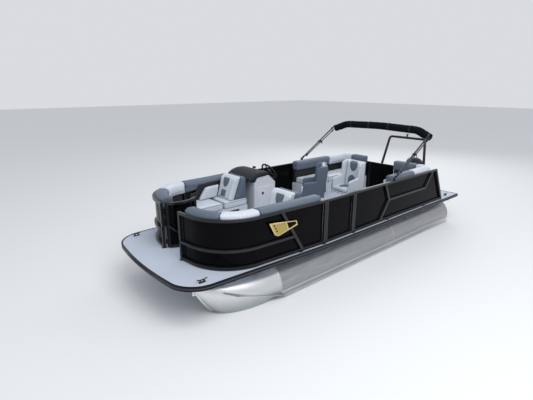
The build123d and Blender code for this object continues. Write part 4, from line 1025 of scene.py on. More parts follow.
LOUNGE_ARM = [(5.26, 0.436), (5.64, 0.436), (5.61, 0.50), (5.49, 0.65), (5.44, 0.665), (5.20, 0.665),
              (5.22, 0.55)]
LOUNGE_RISE = [(4.90, 0.436), (5.80, 0.436), (5.78, 0.58), (5.66, 0.60), (5.60, 0.72), (4.90, 0.745)]
BOW_SEAM_AT = (5.88, 0.45)
BOW_SEAM_TURNS = (43, 93)
side_label = {1: "port", -1: "starboard"}
light_seams, dark_seams = [], []


def side_of(shell):
    return 1 if middle(shell).y > 0 else -1


def roll_is_light(node, centre):
    """Only the section round each corner is light."""
    along = centre.x + STERN
    if node == "aft_bolsters":
        return along < 1.9 and abs(centre.y) > 0.9
    turn = math.degrees(math.atan2(abs(centre.y) - BOW_SEAM_AT[1], along - BOW_SEAM_AT[0]))
    return BOW_SEAM_TURNS[0] < turn < BOW_SEAM_TURNS[1]


def keep_seam(mesh, height, lines):
    """Keep the line round a padded mesh at a height, for the thread that runs along it."""
    lines += [resampled(loop, 0.02, False) for loop in cut_loops(mesh, (0, 0, height), UP)]


for node in ("bow_bolsters", "aft_bolsters"):
    for number, shell in enumerate(loose_parts(node)):
        light = roll_is_light(node, middle(shell))
        slot = "vinyl_light" if light else "vinyl_slate"
        name = f"{node[:-1]}_{number}"
        roll = pad(name, shell, slot, "hull", (node,), 0.016, 0.006, 0.009)
        top = max(v.co.z for v in roll.data.vertices)
        grooved(roll.data, (0, 0, top - 0.155), UP, 0.004, 0.006)
        welts(name, roll.data, top - 0.155, piping_grey if light else vinyl_slate)
        keep_seam(roll.data, top - 0.143, dark_seams if light else light_seams)

for node in ("bow_back_bands", "aft_back_bands"):
    for number, shell in enumerate(loose_parts(node)):
        name = f"{node[:-1]}_{number}"
        band = pad(name, shell, "vinyl_black", "hull", (node,), 0.013, 0.004, 0.005)
        quilted(band.data, 0.004, 0.006)

# Places of the seams across each row of seat cushions, port and starboard
seat_seams = {
    "bow_seat_cushions": {1: (5.36, 5.95), -1: (5.36, 5.95)},
    "aft_seat_cushions": {1: (1.72, 2.2), -1: (1.72, 2.35)},
}
seat_top = DECK + SEAT_TOP
for node, seams in seat_seams.items():
    for whole in loose_parts(node):
        side = side_of(whole)
        shells = [whole]
        for x in seams[side]:
            shells += split_shell(shells.pop(), at(x, 0, 0), (1, 0, 0))
        for number, shell in enumerate(shells):
            name = f"{node[:-1]}_{side_label[side]}_{number}"
            cushion = pad(name, shell, "vinyl_light", "hull", (node,), 0.018, 0.008, 0.015)
            welts(name, cushion.data, seat_top - 0.018, vinyl_slate)
            grooved(cushion.data, (0, 0, seat_top - 0.1), UP, 0.004, 0.005)
            keep_seam(cushion.data, seat_top - 0.03, dark_seams)

# Lounge backs: light front, slate sides and rear
backs = ("chaise_backs",)
for whole in loose_parts("chaise_backs"):
    side = side_of(whole)
    label = side_label[side]
    rear, front = split_shell(whole, at(5.05, 0, 0.64), (0.92, 0, 0.39))
    pad("lounge_rear_" + label, rear, "vinyl_slate", "hull", backs, 0.014, 0.006, 0.01)
    face = pad("lounge_front_" + label, front, "vinyl_light", "hull", backs, 0.011, 0.005, 0.01)
    for y in (0.60, 0.85):
        grooved(face.data, (0, side * y, 0), PORT, 0.007, 0.007)
    place = basis(at(5.3, side * 0.725, 0), PORT, UP)
    shield = raised(arch(0.19, 0.17, 0.03), 0.815, -1)
    square = [(-0.075, 0.48), (0.075, 0.48), (0.075, 0.60), (-0.075, 0.60)]
    inlay("lounge_shield_" + label, face.data, place, shield, 0.004, "hull")
    inlay("lounge_square_" + label, face.data, place, square, 0.004, "hull")
    arm = beside_fence("lounge_arm_" + label, LOUNGE_ARM, 0.265, 0.075, side)
    pad("lounge_arm_" + label, arm, "vinyl_light", "hull", (), 0.01, 0.004, 0.006)
    rise = beside_fence("lounge_rise_" + label, LOUNGE_RISE, 0.236, 0.022, side)
    backing = pad("lounge_rise_" + label, rise, "vinyl_black", "hull", (), 0.008, 0.002, 0.003)
    quilted(backing.data, 0.0025, 0.005)

# columns: name, body, x, y, heading in degrees, finish of the shell
chairs = [
    ("helm_chair", "helm_seat", 3.640, 0.040, -45, "vinyl_slate"),
    ("companion_chair", "companion_seat", 2.960, 0.350, -5, "vinyl_light"),
]
for name, body, x, y, heading, shell_slot in chairs:
    stand = Matrix.Translation(at(x, y, 0)) @ Matrix.Rotation(math.radians(heading), 4, "Z")
    outer, *soft = sorted(loose_parts(name), key=lambda m: -np.ptp(coordinates(m), axis=0).prod())
    soft.sort(key=lambda m: coordinates(m)[:, 2].max())
    pad(name + "_shell", outer, shell_slot, body, (name,), 0.01, 0.003, 0.004)
    seat = pad(name + "_seat", soft[0], "vinyl_light", body, (name,), 0.012, 0.006, 0.012)
    rest = pad(name + "_rest", soft[1], "vinyl_light", body, (name,), 0.011, 0.005, 0.01)
    aside = stand.to_3x3() @ PORT
    for made, offset in ((seat, 0.125), (rest, 0.13)):
        for way in (-1, 1):
            grooved(made.data, stand @ Vector((0, way * offset, 0)), aside, 0.007, 0.006)
    place = stand @ basis((0, 0, 0), PORT, UP)
    shield = raised(arch(0.20, 0.20, 0.06), 0.985, -1)
    inlay(name + "_shield", rest.data, place, shield, 0.005, body)
    inlay(name + "_lumbar", rest.data, place, raised(arch(0.20, 0.17, 0.05), 0.545), 0.005, body)
    ahead = stand @ basis((0, 0, 0), (0, -1, 0), (1, 0, 0))
    inlay(name + "_seat_panel", seat.data, ahead, raised(arch(0.2, 0.25, 0.12), -0.06), 0.004, body)

stitches("seat_stitches_light", light_seams, "hull", thread_light)
stitches("seat_stitches_dark", dark_seams, "hull", thread_dark)

# Folded canopy in its cover
cover = pad("canopy_boot_cover", loose_parts("canopy_boot")[0], "cloth_black", "canopy",
            ("canopy_boot",), 0.016, 0.006, 0.01)
for y in np.arange(-0.9, 0.91, 0.3):
    grooved(cover.data, (0, y, 0), PORT, 0.006, 0.012)


# Hull and rub rail


def weld_ring(x, side):
    """Rippled weld bead round a tube."""
    centre = at(x, side * TUBE_Y, TUBE_Z - DECK)
    ring = [centre + Vector((0, c, s)) * TUBE_R for c, s in circle(150)]
    return tube_mesh("ring", ring, [0.0055, 0.0067] * 75, 6, True)


rings = [weld_ring(x, side) for side in (1, -1) for x in (0.152, 2.45, 5.48)]
together("tube_welds", rings, weld_metal, "hull")

TUBE_CAP = [(0.0, 0.018), (0.12, 0.016), (0.22, 0.011), (0.285, 0.003), (0.29, -0.002), (0.0, -0.002)]
caps = []
for side in (1, -1):
    centre = at(0.15, side * TUBE_Y, TUBE_Z - DECK)
    caps.append(lathe("cap", centre, -AHEAD, TUBE_CAP, 48))
    caps.append(disc("drain", centre + Vector((-0.015, 0, -0.2)), -AHEAD, 0.016, 0.014, 0.003, 16))
together("tube_end_caps", caps, hull_metal, "hull")

# The groove of the rub rail holds a lighter insert
insert = strip("rub_rail_insert", edge_line(0.0222, -0.028), 0.0165, 0.005)
piece("rub_rail_insert", insert, edge_insert, "hull")
rail_spots = []
line = resampled(edge_line(0.0245, -0.052), 0.4, False)
for before, spot, after in zip(line, line[1:], line[2:]):
    outward = (after - before).normalized().cross(UP)
    if (spot + outward * 0.2).length < spot.length:
        outward = -outward
    rail_spots.append((spot, outward))
screws("rub_rail_screws", rail_spots, "hull", steel, 0.0045, 0.003)

# Fence fittings

FOOT_LENGTH = 0.075
FOOT_WIDTH = 0.06
FOOT_THICK = 0.006
BOW_POST_TURN = math.radians(7)


def standing(x, y, turn):
    """Place on the deck, turned about the vertical."""
    return Matrix.Translation(at(x, y, 0)) @ Matrix.Rotation(turn, 4, "Z")


plates, heads = [], []
taper = math.atan(TAPER)
# columns: x, y, turn in radians of each post's foot
feet = [(x, side * FENCE_Y, 0.0) for side in (1, -1) for x in (0.731, 1.48, 2.83)]
feet += [(3.8665, FENCE_Y, 0.0), (4.583, -FENCE_Y, 0.0)]
feet += [(x, side * fence_y(x), -side * taper) for side in (1, -1) for x in (4.626, 5.12)]
feet += [(6.63, side * 0.286, side * BOW_POST_TURN) for side in (1, -1)]
feet += [(1.065, y, math.pi / 2) for y in (0.30, 1.18, -1.18, -0.46)]
for foot in feet:
    place = standing(*foot)
    low, high = (-FOOT_LENGTH / 2, -FOOT_WIDTH / 2, 0), (FOOT_LENGTH / 2, FOOT_WIDTH / 2, FOOT_THICK)
    plates.append(rounded_block("plate", low, high, 0.003, 2, place))
    for way in (-1, 1):
        heads.append((place @ Vector((way * (FOOT_LENGTH / 2 - 0.011), 0, FOOT_THICK)), UP))
together("fence_foot_plates", plates, rail_black, "hull")
screws("fence_foot_screws", heads, "hull", steel, 0.006, 0.003)

# Trim strips close the joint between the bow sheets and their front posts
trims = []
for side in (1, -1):
    place = standing(6.607, side * 0.316, side * BOW_POST_TURN)
    trims.append(rounded_block("trim", (-0.004, -0.014, 0.03), (0.004, 0.014, 0.716), 0.002, 2, place))
together("fence_trims", trims, rail_black, "hull")

# Rivets hold the fence sheets from the inside
RIVETS_LOW, RIVETS_HIGH = 0.031, 0.716
SHEET_INSIDE = 0.0245
spots = []
for side in (1, -1):
    for x in np.arange(0.95, 3.85, 0.145):
        for shift, z in ((0.08, RIVETS_LOW), (0.13, RIVETS_HIGH)):
            spots.append((at(x + shift, side * (FENCE_Y - SHEET_INSIDE), z), -side * PORT))
    for x in np.arange(4.72, 5.7, 0.14):
        for z in (RIVETS_LOW, RIVETS_HIGH):
            spots.append((at(x, side * (fence_y(x) - SHEET_INSIDE), z), -side * PORT))
screws("fence_rivets", spots, "hull", rail_black, 0.005, 0.0025)

LATCH_KNOB = [(0.0, 0.0), (0.005, 0.0), (0.005, 0.006), (0.010, 0.008), (0.011, 0.014),
              (0.007, 0.018), (0.0, 0.019)]


def latch(name, spot, ahead, body):
    """Gate latch: plate, slide bar and thumb knob on a post, its bar pointing ahead."""
    place = basis(spot, ahead, UP)
    out = normal_of(place)
    meshes = [
        rounded_block("plate", (-0.02, -0.035, 0), (0.02, 0.035, 0.004), 0.0015, 2, place),
        rounded_block("guide", (-0.018, -0.014, 0.003), (0.018, 0.014, 0.016), 0.003, 2, place),
        rounded_block("bar", (-0.03, -0.006, 0.006), (0.026, 0.006, 0.013), 0.002, 2, place),
        lathe("knob", place @ Vector((0, 0, 0.015)), out, LATCH_KNOB, 16),
    ]
    together(name, meshes, rail_black, body)
    spots = [(place @ Vector((0.0, z, 0.004)), out) for z in (-0.026, 0.026)]
    screws(name + "_screws", spots, body, steel, 0.004, 0.002)


# Badge on the port bow fence


def centre_of(outline):
    count = len(outline)
    return sum(x for x, z in outline) / count, sum(z for x, z in outline) / count


def fence_plate(name, outline, rise, thick, bevel, material):
    """Plate whose outline in x and z stands on the outer face of the port bow fence."""
    x0 = centre_of(outline)[0]
    spot = at(x0, fence_y(x0) + RAIL / 2 + rise, 0)
    turn = Matrix.Rotation(-math.atan(TAPER), 4, "Z")
    place = Matrix.Translation(spot) @ turn @ basis((0, 0, 0), (1, 0, 0), UP)
    local = [(x - x0, z) for x, z in reversed(outline)]
    return piece(name, prism(name, local, thick, place, bevel), material, "hull")


def inset(outline):
    """The same outline drawn in towards its middle."""
    cx, cz = centre_of(outline)
    return [(cx + (x - cx) * 0.97, cz + (z - cz) * 0.97) for x, z in outline]


badge_outline = [(5.748, 0.596), (5.243, 0.542), (5.217, 0.466), (5.586, 0.371), (5.653, 0.407)]
badge_body = [(5.715, 0.580), (5.452, 0.553), (5.408, 0.440), (5.582, 0.386), (5.640, 0.418)]
badge_field = [(5.435, 0.548), (5.262, 0.530), (5.246, 0.487), (5.395, 0.444)]
slot_shape = [(0.016, 0.013), (-0.014, 0.010), (-0.012, -0.012), (0.006, -0.010)]
fence_plate("badge_plate", badge_outline, 0.007, 0.016, 0.006, gold_plate)
fence_plate("badge_face", inset(badge_body), 0.0155, 0.004, 0.0018, gold_face)
fence_plate("badge_field", inset(badge_field), 0.0155, 0.003, 0.0012, panel_black)
for number, (x, z) in enumerate(((5.664, 0.548), (5.640, 0.503), (5.616, 0.458))):
    outline = [(x + u, z + v) for u, v in slot_shape]
    fence_plate(f"badge_slot_{number}", outline, 0.0175, 0.003, 0.001, panel_black)

# Gates

latch("bow_gate_latch", at(6.086, -0.186, 0.60), UP, "bow_gate")
latch("side_gate_latch", at(3.914, FENCE_Y - 0.0195, 0.60), -AHEAD, "side_gate")
latch("stern_gate_latch", at(1.0845, -0.413, 0.52), -PORT, "stern_gate")
# low and high corners of each strike
corners = [
    (at(3.852, FENCE_Y - 0.030, 0.585), at(3.876, FENCE_Y - 0.0185, 0.615)),
    (at(1.0835, -0.475, 0.505), at(1.097, -0.452, 0.535)),
    (at(6.588, 0.268, 0.585), at(6.612, 0.292, 0.615)),
]
strikes = [rounded_block("strike", low, high, 0.002) for low, high in corners]
together("gate_strikes", strikes, rail_black, "hull")

# Seat bases


def hatch(place, width, height):
    """Moulded hatch: a door and its raised field."""
    x, y = width / 2, height / 2
    edge = 0.022
    return [
        rounded_block("door", (-x, -y, 0), (x, y, 0.007), 0.005, 3, place),
        rounded_block("field", (edge - x, edge - y, 0.005), (x - edge, y - edge, 0.010), 0.004, 3, place),
    ]


PULL = [(0.0, 0.0), (0.02, 0.0), (0.02, 0.003), (0.017, 0.005), (0.013, 0.003), (0.0, 0.003)]
# columns: side, x, distance from the middle, width
hatches = [
    (1, 5.03, 0.485, 0.46), (1, 5.55, 0.485, 0.46), (-1, 5.25, 0.485, 0.46), (-1, 5.90, 0.485, 0.46),
    (1, 1.95, 0.65, 0.36), (1, 2.38, 0.65, 0.36), (-1, 2.05, 0.65, 0.36), (-1, 2.60, 0.65, 0.36),
]
doors, pulls = [], []
for side, x, y, width in hatches:
    place = Matrix.Translation(at(x, side * y, 0.16)) @ basis((0, 0, 0), (-side, 0, 0), UP)
    doors += hatch(place, width, 0.19)
    pulls.append(lathe("pull", place @ Vector((width / 2 - 0.055, 0, 0.009)), normal_of(place), PULL, 24))
together("seat_base_doors", doors, moulding_light, "hull")
together("seat_base_pulls", pulls, steel, "hull")

# Helm

CONSOLE_IN = -0.41
CONSOLE_OUT = -1.165
CONSOLE_MIDDLE = (CONSOLE_IN + CONSOLE_OUT) / 2
HOOD_SECTION = [(4.70, 0.702), (4.637, 0.784), (4.385, 0.8035), (4.352, 0.818), (4.372, 0.858),
                (4.44, 0.875), (4.57, 0.875), (4.69, 0.850), (4.785, 0.80), (4.82, 0.755),
                (4.808, 0.738), (4.75, 0.722)]
HOOD_STATIONS = (0.0, 0.25, 0.5, 0.75, 0.88, 0.95, 0.985, 1.0)


def smooth_section(corners):
    """Closed curve through corners, with four points to each run."""
    count = len(corners)
    section = []
    for i in range(count):
        a, b, c, d = (Vector(corners[(i + k - 1) % count]) for k in range(4))
        for t in (0, 0.25, 0.5, 0.75):
            bend = (2 * a - 5 * b + 4 * c - d) * t * t + (3 * b - a - 3 * c + d) * t ** 3
            section.append(0.5 * (2 * b + (c - a) * t + bend))
    return section


def hood():
    """Dash hood: a smooth side section drawn across and rounded off at both ends."""
    section = smooth_section(HOOD_SECTION)
    core = Vector((4.60, 0.80))
    half = (CONSOLE_IN - CONSOLE_OUT) / 2 - 0.012
    stations = [-s for s in HOOD_STATIONS[:0:-1]] + list(HOOD_STATIONS)
    verts, faces = [], []
    for s in stations:
        size = max(0.0, 1 - abs(s) ** 14) ** 0.5 * 0.12 + 0.88
        for p in section:
            q = core + (p - core) * size
            if p.y < 0.81 and p.x < 4.72:
                q.y = max(q.y, p.y - 0.002)
            verts.append(at(q.x, CONSOLE_MIDDLE + half * s, q.y))
    n = len(section)
    last = len(stations) - 1
    for i in range(last):
        for k in range(n):
            a, b = i * n + k, i * n + (k + 1) % n
            faces.append((a, b, b + n, a + n))
    faces += [tuple(range(n)), tuple(reversed(range(last * n, (last + 1) * n)))]
    return closed_mesh("dash_hood", verts, faces)


dash_hood = piece("dash_hood", hood(), moulding_dark, "hull")
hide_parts("dash_cowl")
hood_top = [(4.36, 0.845), (4.40, 0.8725), (4.57, 0.8765), (4.69, 0.851), (4.786, 0.80)]
hood_seams = [resampled([at(x, y, z) for x, z in hood_top], 0.01, False)
              for y in (CONSOLE_OUT + 0.10, CONSOLE_IN - 0.10)]
stitches("hood_stitches", hood_seams, "hull", thread_light, 0.011, 0.0013)

# Dash: the slope behind the wheel, normal pointing up and aft
dash = basis(at(4.285, CONSOLE_MIDDLE, 0.72), (0, -1, 0), (0.765, 0, 0.644))
dash_out = normal_of(dash)
fascia = rounded_block("dash_fascia", (-0.35, -0.105, -0.004), (0.35, 0.105, 0.006), 0.004, 3, dash)
piece("dash_fascia", fascia, moulding_dark, "hull")
screen = rounded_block("dash_screen", (-0.02, -0.055, 0.004), (0.17, 0.065, 0.014), 0.006, 3, dash)
piece("dash_screen", screen, glass_dark, "hull")


def bezel_profile(r):
    return [(r * 0.86, 0.0), (r, 0.0), (r, 0.007), (r * 0.93, 0.010), (r * 0.86, 0.007), (r * 0.86, 0.0)]


def on_dial(u, v, reach, degrees, lift):
    """Point at a reach and a turn from a dial's centre on the dash."""
    turn = math.radians(degrees)
    return dash @ Vector((u + reach * math.cos(turn), v + reach * math.sin(turn), lift))


bezels, dials, pointers, ticks = [], [], [], []
# columns: across and up the dash from its middle, radius
for u, v, r in ((0.225, 0.045, 0.036), (0.30, 0.045, 0.036), (0.2625, -0.045, 0.026), (-0.29, 0.06, 0.028)):
    centre = dash @ Vector((u, v, 0.005))
    bezels.append(lathe("bezel", centre, dash_out, bezel_profile(r), 32))
    dials.append(disc("dial", centre, dash_out, r * 0.88, 0.003, 0.0, 32))
    for k in range(9):
        ends = [on_dial(u, v, r * share, 220 - k * 32.5, 0.0088) for share in (0.78, 0.62)]
        ticks.append(tube_mesh("tick", ends, 0.0007, 4))
    ends = [on_dial(u, v, reach, 205, 0.0095) for reach in (0.0, r * 0.6)]
    pointers.append(tube_mesh("pointer", ends, [0.0016, 0.0006], 5))
together("gauge_bezels", bezels, steel, "hull")
together("gauge_dials", dials, glass_dark, "hull")
together("gauge_ticks", ticks, dial_white, "hull")
together("gauge_pointers", pointers, pointer_red, "hull")
KEY = [(0.0, 0.0), (0.016, 0.0), (0.016, 0.006), (0.009, 0.009), (0.009, 0.02), (0.0, 0.021)]
switches = []
for k in range(6):
    place = dash @ Matrix.Translation((-0.005 + 0.034 * k, -0.08, 0.006)) @ Matrix.Rotation(0.18, 4, "X")
    low, high = (-0.011, -0.014, -0.002), (0.011, 0.014, 0.006)
    switches.append(rounded_block("switch", low, high, 0.0025, 2, place))
switches.append(lathe("key", dash @ Vector((-0.30, -0.03, 0.005)), dash_out, KEY, 20))
together("dash_switches", switches, rubber_black, "hull")

# Throttle box and lever on the console's outboard side
BOSS = [(0.0, 0.0), (0.03, 0.0), (0.03, 0.012), (0.022, 0.018), (0.0, 0.018)]
swing = Matrix.Translation(at(4.27, CONSOLE_OUT + 0.108, 0.69)) @ Matrix.Rotation(math.radians(-14), 4, "Y")
throttle = [
    rounded_block("box", at(4.20, CONSOLE_OUT + 0.03, 0.62), at(4.34, CONSOLE_OUT + 0.10, 0.735), 0.014, 4),
    lathe("boss", swing @ Vector((0, -0.012, 0)), PORT, BOSS, 28),
    rounded_block("lever", (-0.012, 0.0, 0.0), (0.012, 0.012, 0.15), 0.004, 3, swing),
    rounded_block("grip", (-0.018, -0.005, 0.135), (0.018, 0.075, 0.175), 0.014, 4, swing),
]
together("throttle", throttle, rubber_black, "hull")

# Console side: hatch with its round latch
ROUND_LATCH = [(0.0, 0.0), (0.026, 0.0), (0.026, 0.004), (0.022, 0.007), (0.016, 0.004),
               (0.010, 0.004), (0.009, 0.008), (0.0, 0.009)]
door = hatch(basis(at(4.455, CONSOLE_IN, 0.36), (-1, 0, 0), UP), 0.40, 0.52)
together("console_door", door, moulding_light, "hull")
turned = lathe("console_latch", at(4.527, CONSOLE_IN + 0.009, 0.478), PORT, ROUND_LATCH, 28)
piece("console_latch", turned, rubber_black, "hull")

# Steering wheel: stitched grip over the rim, hub cap with a blank face
WHEEL_R = 0.175
HUB_CAP = [(0.0, 0.0), (0.05, 0.0), (0.052, 0.008), (0.046, 0.016), (0.03, 0.02), (0.0, 0.021)]
wheel_axis = Vector((-math.cos(math.radians(33)), 0, math.sin(math.radians(33))))
wheel_centre = at(4.265, -0.687, 0.705) + wheel_axis * 0.165
wheel_up = wheel_axis.cross(PORT).normalized()


def wheel_ring(centre, radius, count):
    return [centre + (PORT * c + wheel_up * s) * radius for c, s in circle(count)]


rim = wheel_ring(wheel_centre, WHEEL_R, 180)
rim_size = [0.0165 + 0.0011 * math.cos(20 * 2 * math.pi * i / 180) for i in range(180)]
piece("wheel_grip", tube_mesh("wheel_grip", rim, rim_size, 14, True), rubber_black, "wheel")
lace = wheel_ring(wheel_centre, WHEEL_R - 0.0172, 180)
stitches("wheel_lacing", [lace], "wheel", thread_light, 0.009, 0.0013)
cap = lathe("wheel_hub_cap", wheel_centre - wheel_axis * 0.008, wheel_axis, HUB_CAP, 40)
piece("wheel_hub_cap", cap, moulding_dark, "wheel")
ring = wheel_ring(wheel_centre + wheel_axis * 0.0035, 0.0515, 48)
piece("wheel_hub_ring", tube_mesh("wheel_hub_ring", ring, 0.0018, 6, True), steel, "wheel")

# Canopy


def collar(spot, axis, radius, length):
    """Moulded fitting clamped round a tube."""
    thin, thick = radius + 0.003, radius + 0.007
    profile = [(0.0, 0.0), (thin, 0.0), (thick, 0.005), (thick, length - 0.005), (thin, length),
               (0.0, length)]
    return lathe("collar", spot - axis * length / 2, axis, profile, 20)


fittings, straps = [], []
for side in (1, -1):
    foot, top = at(2.65, side * FENCE_Y, 0.805), at(1.52, side * (FENCE_Y - 0.015), 1.50)
    second_foot, second_top = at(2.505, side * FENCE_Y, 0.85), at(1.50, side * (FENCE_Y - 0.015), 1.435)
    run = (top - foot).normalized()
    second_run = (second_top - second_foot).normalized()
    fittings += [collar(foot.lerp(top, share), run, 0.016, 0.045) for share in (0.045, 0.5, 0.9)]
    fittings += [collar(second_foot.lerp(second_top, share), second_run, 0.011, 0.04)
                 for share in (0.03, 0.5, 0.88)]
    # a strap ties the two tubes together half way up, and its end hangs down
    a, b = foot.lerp(top, 0.52), second_foot.lerp(second_top, 0.5)
    across = (a - b).normalized()
    long = across * ((a - b).length / 2 + 0.022)
    loop = [a.lerp(b, 0.5) + long * c + PORT * (0.021 * s) for c, s in circle(24)]
    straps.append(strip("strap", [*loop, loop[0]], 0.028, 0.0025, run))
    # columns: distance from the second tube, then forward, outboard and up
    steps = [(0.024, 0, 0.004, 0), (0.044, 0.004, 0.008, -0.014), (0.048, 0.008, 0.01, -0.03),
             (0.046, 0.014, 0.01, -0.045)]
    tail = [b - across * reach + Vector((x, side * y, z)) for reach, x, y, z in steps]
    straps.append(strip("strap_tail", resampled(tail, 0.012, False), 0.025, 0.002, AHEAD))
together("canopy_fittings", fittings, rubber_black, "canopy")
together("canopy_leg_straps", straps, webbing_black, "canopy")

# Webbing and buckles round the cover, and its zip along the underside
belts, buckles = [], []
for y in (-0.75, -0.25, 0.25, 0.75):
    loop = max(cut_loops(cover.data, (0, y, 0), PORT), key=len)
    centre = sum(loop, Vector()) / len(loop)
    line = []
    for p in resampled(loop, 0.015, True):
        spread = 1 + 0.0025 / max((p - centre).length, 0.01)
        line.append(centre + (p - centre) * spread)
    belts.append(strip("belt", [*line, line[0]], 0.03, 0.0025, PORT))
    front = max(line, key=lambda p: p.x)
    out = (front - centre).normalized()
    place = basis(front + out * 0.004, PORT, out.cross(PORT))
    buckles.append(rounded_block("buckle", (-0.021, -0.026, -0.003), (0.021, 0.026, 0.009), 0.005, 3, place))
together("cover_belts", belts, webbing_black, "canopy")
together("cover_buckles", buckles, rubber_black, "canopy")
points = coordinates(cover.data)
zip_line = []
for y in np.linspace(-1.05, 1.05, 60):
    near = points[np.abs(points[:, 1] - y) < 0.02]
    low = near[near[:, 2].argmin()]
    zip_line.append(Vector((low[0], y, low[2] - 0.001)))
piece("cover_zip", strip("cover_zip", zip_line, 0.022, 0.003, AHEAD), webbing_black, "canopy")
teeth = [p - UP * 0.0022 for p in zip_line]
stitches("cover_zip_teeth", [teeth], "canopy", rail_black, 0.006, 0.0018)
end_lines = [resampled(loop, 0.012, False) for y in (-1.12, 1.12)
             for loop in cut_loops(cover.data, (0, y, 0), PORT)]
stitches("cover_stitches", end_lines, "canopy", thread_dark, 0.009, 0.0013)

clamp_heads = [(at(2.65 + dx, side * (FENCE_Y + 0.024), 0.749), side * PORT)
               for side in (1, -1) for dx in (-0.022, 0.022)]
clamp_heads += [(at(2.65, side * (FENCE_Y + 0.025), 0.805), side * PORT) for side in (1, -1)]
screws("canopy_clamp_bolts", clamp_heads, "hull", steel, 0.006, 0.004)

# Fixings on the deck


def bolt_circle(x, y, z, radius, count, start=0.0):
    """Places and directions of bolts round a point on the deck."""
    return [(at(x + radius * c, y + radius * s, z), UP) for c, s in circle(count, start)]


bar_heads = bolt_circle(0.41, 0.64, 0.010, 0.055, 4, 0.785) + bolt_circle(0.41, -0.64, 0.010, 0.055, 4, 0.785)
screws("tow_bar_bolts", bar_heads, "hull", steel, 0.007, 0.005)
KNOB_RING = [(0.020, 0.0), (0.027, 0.0), (0.027, 0.006), (0.020, 0.009), (0.020, 0.0)]
sleeve = lathe("tow_knob_ring", at(0.22, 0, 1.236), UP, KNOB_RING, 32)
piece("tow_knob_ring", sleeve, steel, "hull")
chair_heads = bolt_circle(3.64, 0.04, 0.012, 0.135, 8) + bolt_circle(2.96, 0.35, 0.012, 0.135, 8)
screws("pedestal_bolts", chair_heads, "hull", steel, 0.007, 0.005)
cleat_heads = [(at(x + dx, side * y, 0.006), UP) for x, y in ((6.76, 1.0507), (0.33, 1.16))
               for side in (1, -1) for dx in (-0.047, 0.047)]
screws("cleat_screws", cleat_heads, "hull", steel, 0.005, 0.003)

# Ladder: ribbed rubber on the treads and caps on the rail ends
RAIL_END = [(0.0, 0.0), (0.0152, 0.0), (0.0152, 0.012), (0.012, 0.018), (0.0, 0.02)]
grips = []
for x in (0.110, 0.340, 0.580):
    centre = at(-0.062 + x, -0.89, 0.032)
    low, high = centre + Vector((-0.028, -0.165, 0.009)), centre + Vector((0.028, 0.165, 0.013))
    grips.append(rounded_block("pad", low, high, 0.0015, 2))
    for k in range(6):
        low = centre + Vector((-0.024 + k * 0.0085, -0.158, 0.011))
        grips.append(rounded_block("rib", low, low + Vector((0.004, 0.316, 0.004)), 0.001, 1))
grips += [lathe("end", at(0.536, y, 0.032), AHEAD, RAIL_END, 20) for y in (-1.08, -0.70)]
together("ladder_grips", grips, rubber_black, "ladder")

# Outboard motor

tilt = Matrix.Translation((-0.345 - STERN, 0, 0.760)) @ Matrix.Rotation(math.radians(50), 4, "Y")
motor_up = normal_of(tilt)


def section_ring(x, z, length, width, corner):
    """Rounded rectangle round the hood at a height above the tilt pin, with its first point again."""
    ring = []
    for cx, cy, start in ((1, 1, 0), (-1, 1, 90), (-1, -1, 180), (1, -1, 270)):
        mid_x, mid_y = x + cx * (length / 2 - corner), cy * (width / 2 - corner)
        for i in range(9):
            turn = math.radians(start + 90 * i / 8)
            ring.append(tilt @ Vector((mid_x + corner * math.cos(turn), mid_y + corner * math.sin(turn), z)))
    return [*ring, ring[0]]


def motor_block(name, x, z, low, high, bevel, segments, material):
    mesh = rounded_block(name, low, high, bevel, segments, tilt @ Matrix.Translation((x, 0, z)))
    piece(name, mesh, material, "motor")


seam = section_ring(-0.2266, 0.262, 0.6305, 0.3752, 0.133)
piece("motor_seam", strip("motor_seam", seam, 0.012, 0.005, motor_up), rubber_black, "motor")
band = section_ring(-0.2275, 0.32, 0.637, 0.3815, 0.1365)
piece("motor_band", strip("motor_band", band, 0.006, 0.004, motor_up), steel, "motor")
vents = []
for side in (1, -1):
    for k in range(5):
        place = tilt @ Matrix.Translation((-0.36, side * 0.1915, 0.395 + k * 0.022))
        place @= Matrix.Rotation(side * 0.25, 4, "X")
        vents.append(rounded_block("vent", (-0.07, -0.003, -0.004), (0.07, 0.004, 0.004), 0.002, 2, place))
together("motor_vents", vents, rubber_black, "motor")
motor_block("motor_latch", 0.075, 0.24, (-0.008, -0.04, -0.02), (0.022, 0.04, 0.014), 0.008, 3, rubber_black)
NUT = [(0.0, 0.0), (0.022, 0.0), (0.022, 0.006), (0.014, 0.008), (0.013, 0.018), (0.006, 0.022),
       (0.0, 0.022)]
nut = lathe("propeller_nut", tilt @ Vector((-0.509, 0, -0.765)), tilt.to_3x3() @ -AHEAD, NUT, 6)
piece("propeller_nut", nut, steel, "screw")
bolt_heads = [(Vector((-0.360 - STERN, y, z)), -AHEAD) for y in (-0.125, 0.125) for z in (0.47, 0.60)]
screws("bracket_bolts", bolt_heads, "hull", steel, 0.010, 0.007)
motor_block("motor_anode", -0.30, -0.5605, (-0.03, -0.05, -0.012), (0.03, 0.05, 0.0), 0.004, 2, steel)

# Cushions come out fine-grained, and are thinned once their seams are in
for made in padded_pieces:
    thinned(made, PAD_FACES_KEPT)


# Floor, light and camera


FLOOR_REACH = 60.0
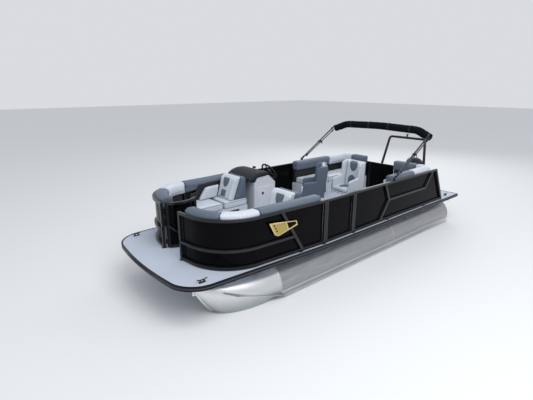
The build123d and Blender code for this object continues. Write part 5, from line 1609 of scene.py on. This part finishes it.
# columns: name, place, width in metres, power in watts
LAMPS = [("key", (3.0, 6.0, 9.0), 7.0, 650.0), ("fill", (-8.0, -4.0, 7.0), 8.0, 260.0)]
PHOTO_WIDTH = 533
FOCAL_PIXELS = 380.137
SENSOR_WIDTH = 36.0
CAMERA_PLACE = (8.9731, 4.9152, 2.4077)
CAMERA_TURN = math.radians(229.517)
CAMERA_DIP = math.radians(16.603)


def make_floor():
    """Plain pale floor at the waterline."""
    corners = [(x * FLOOR_REACH, y * FLOOR_REACH, WATERLINE) for x, y in ((-1, -1), (1, -1), (1, 1), (-1, 1))]
    mesh = mesh_of("floor", corners, [(0, 1, 2, 3)])
    floor = bpy.data.objects.new("floor", mesh)
    scene.collection.objects.link(floor)
    mesh.materials.append(Finish("floor_pale", (0.74, 0.75, 0.76), 0.9).material)
    floor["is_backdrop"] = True


def make_light():
    world = bpy.data.worlds.new("studio")
    scene.world = world
    world.use_nodes = True
    sky = world.node_tree.nodes["Background"]
    sky.inputs["Color"].default_value = (0.93, 0.95, 1.0, 1)
    sky.inputs["Strength"].default_value = 0.75
    for name, place, size, power in LAMPS:
        lamp = bpy.data.lights.new(name, "AREA")
        lamp.size = size
        lamp.energy = power
        shown = bpy.data.objects.new(name, lamp)
        shown.location = place
        shown.rotation_euler = (-Vector(place)).to_track_quat("-Z", "Y").to_euler()
        scene.collection.objects.link(shown)


def make_camera():
    lens = bpy.data.cameras.new("camera")
    lens.sensor_width = SENSOR_WIDTH
    lens.lens = FOCAL_PIXELS / PHOTO_WIDTH * SENSOR_WIDTH
    lens.clip_end = 300.0
    shown = bpy.data.objects.new("camera", lens)
    level = math.cos(CAMERA_DIP)
    ahead = Vector((level * math.cos(CAMERA_TURN), level * math.sin(CAMERA_TURN), -math.sin(CAMERA_DIP)))
    shown.location = at(*CAMERA_PLACE)
    shown.rotation_euler = ahead.to_track_quat("-Z", "Y").to_euler()
    scene.collection.objects.link(shown)
    scene.camera = shown


make_floor()
make_light()
make_camera()
scene.view_settings.view_transform = "Standard"

low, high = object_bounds()
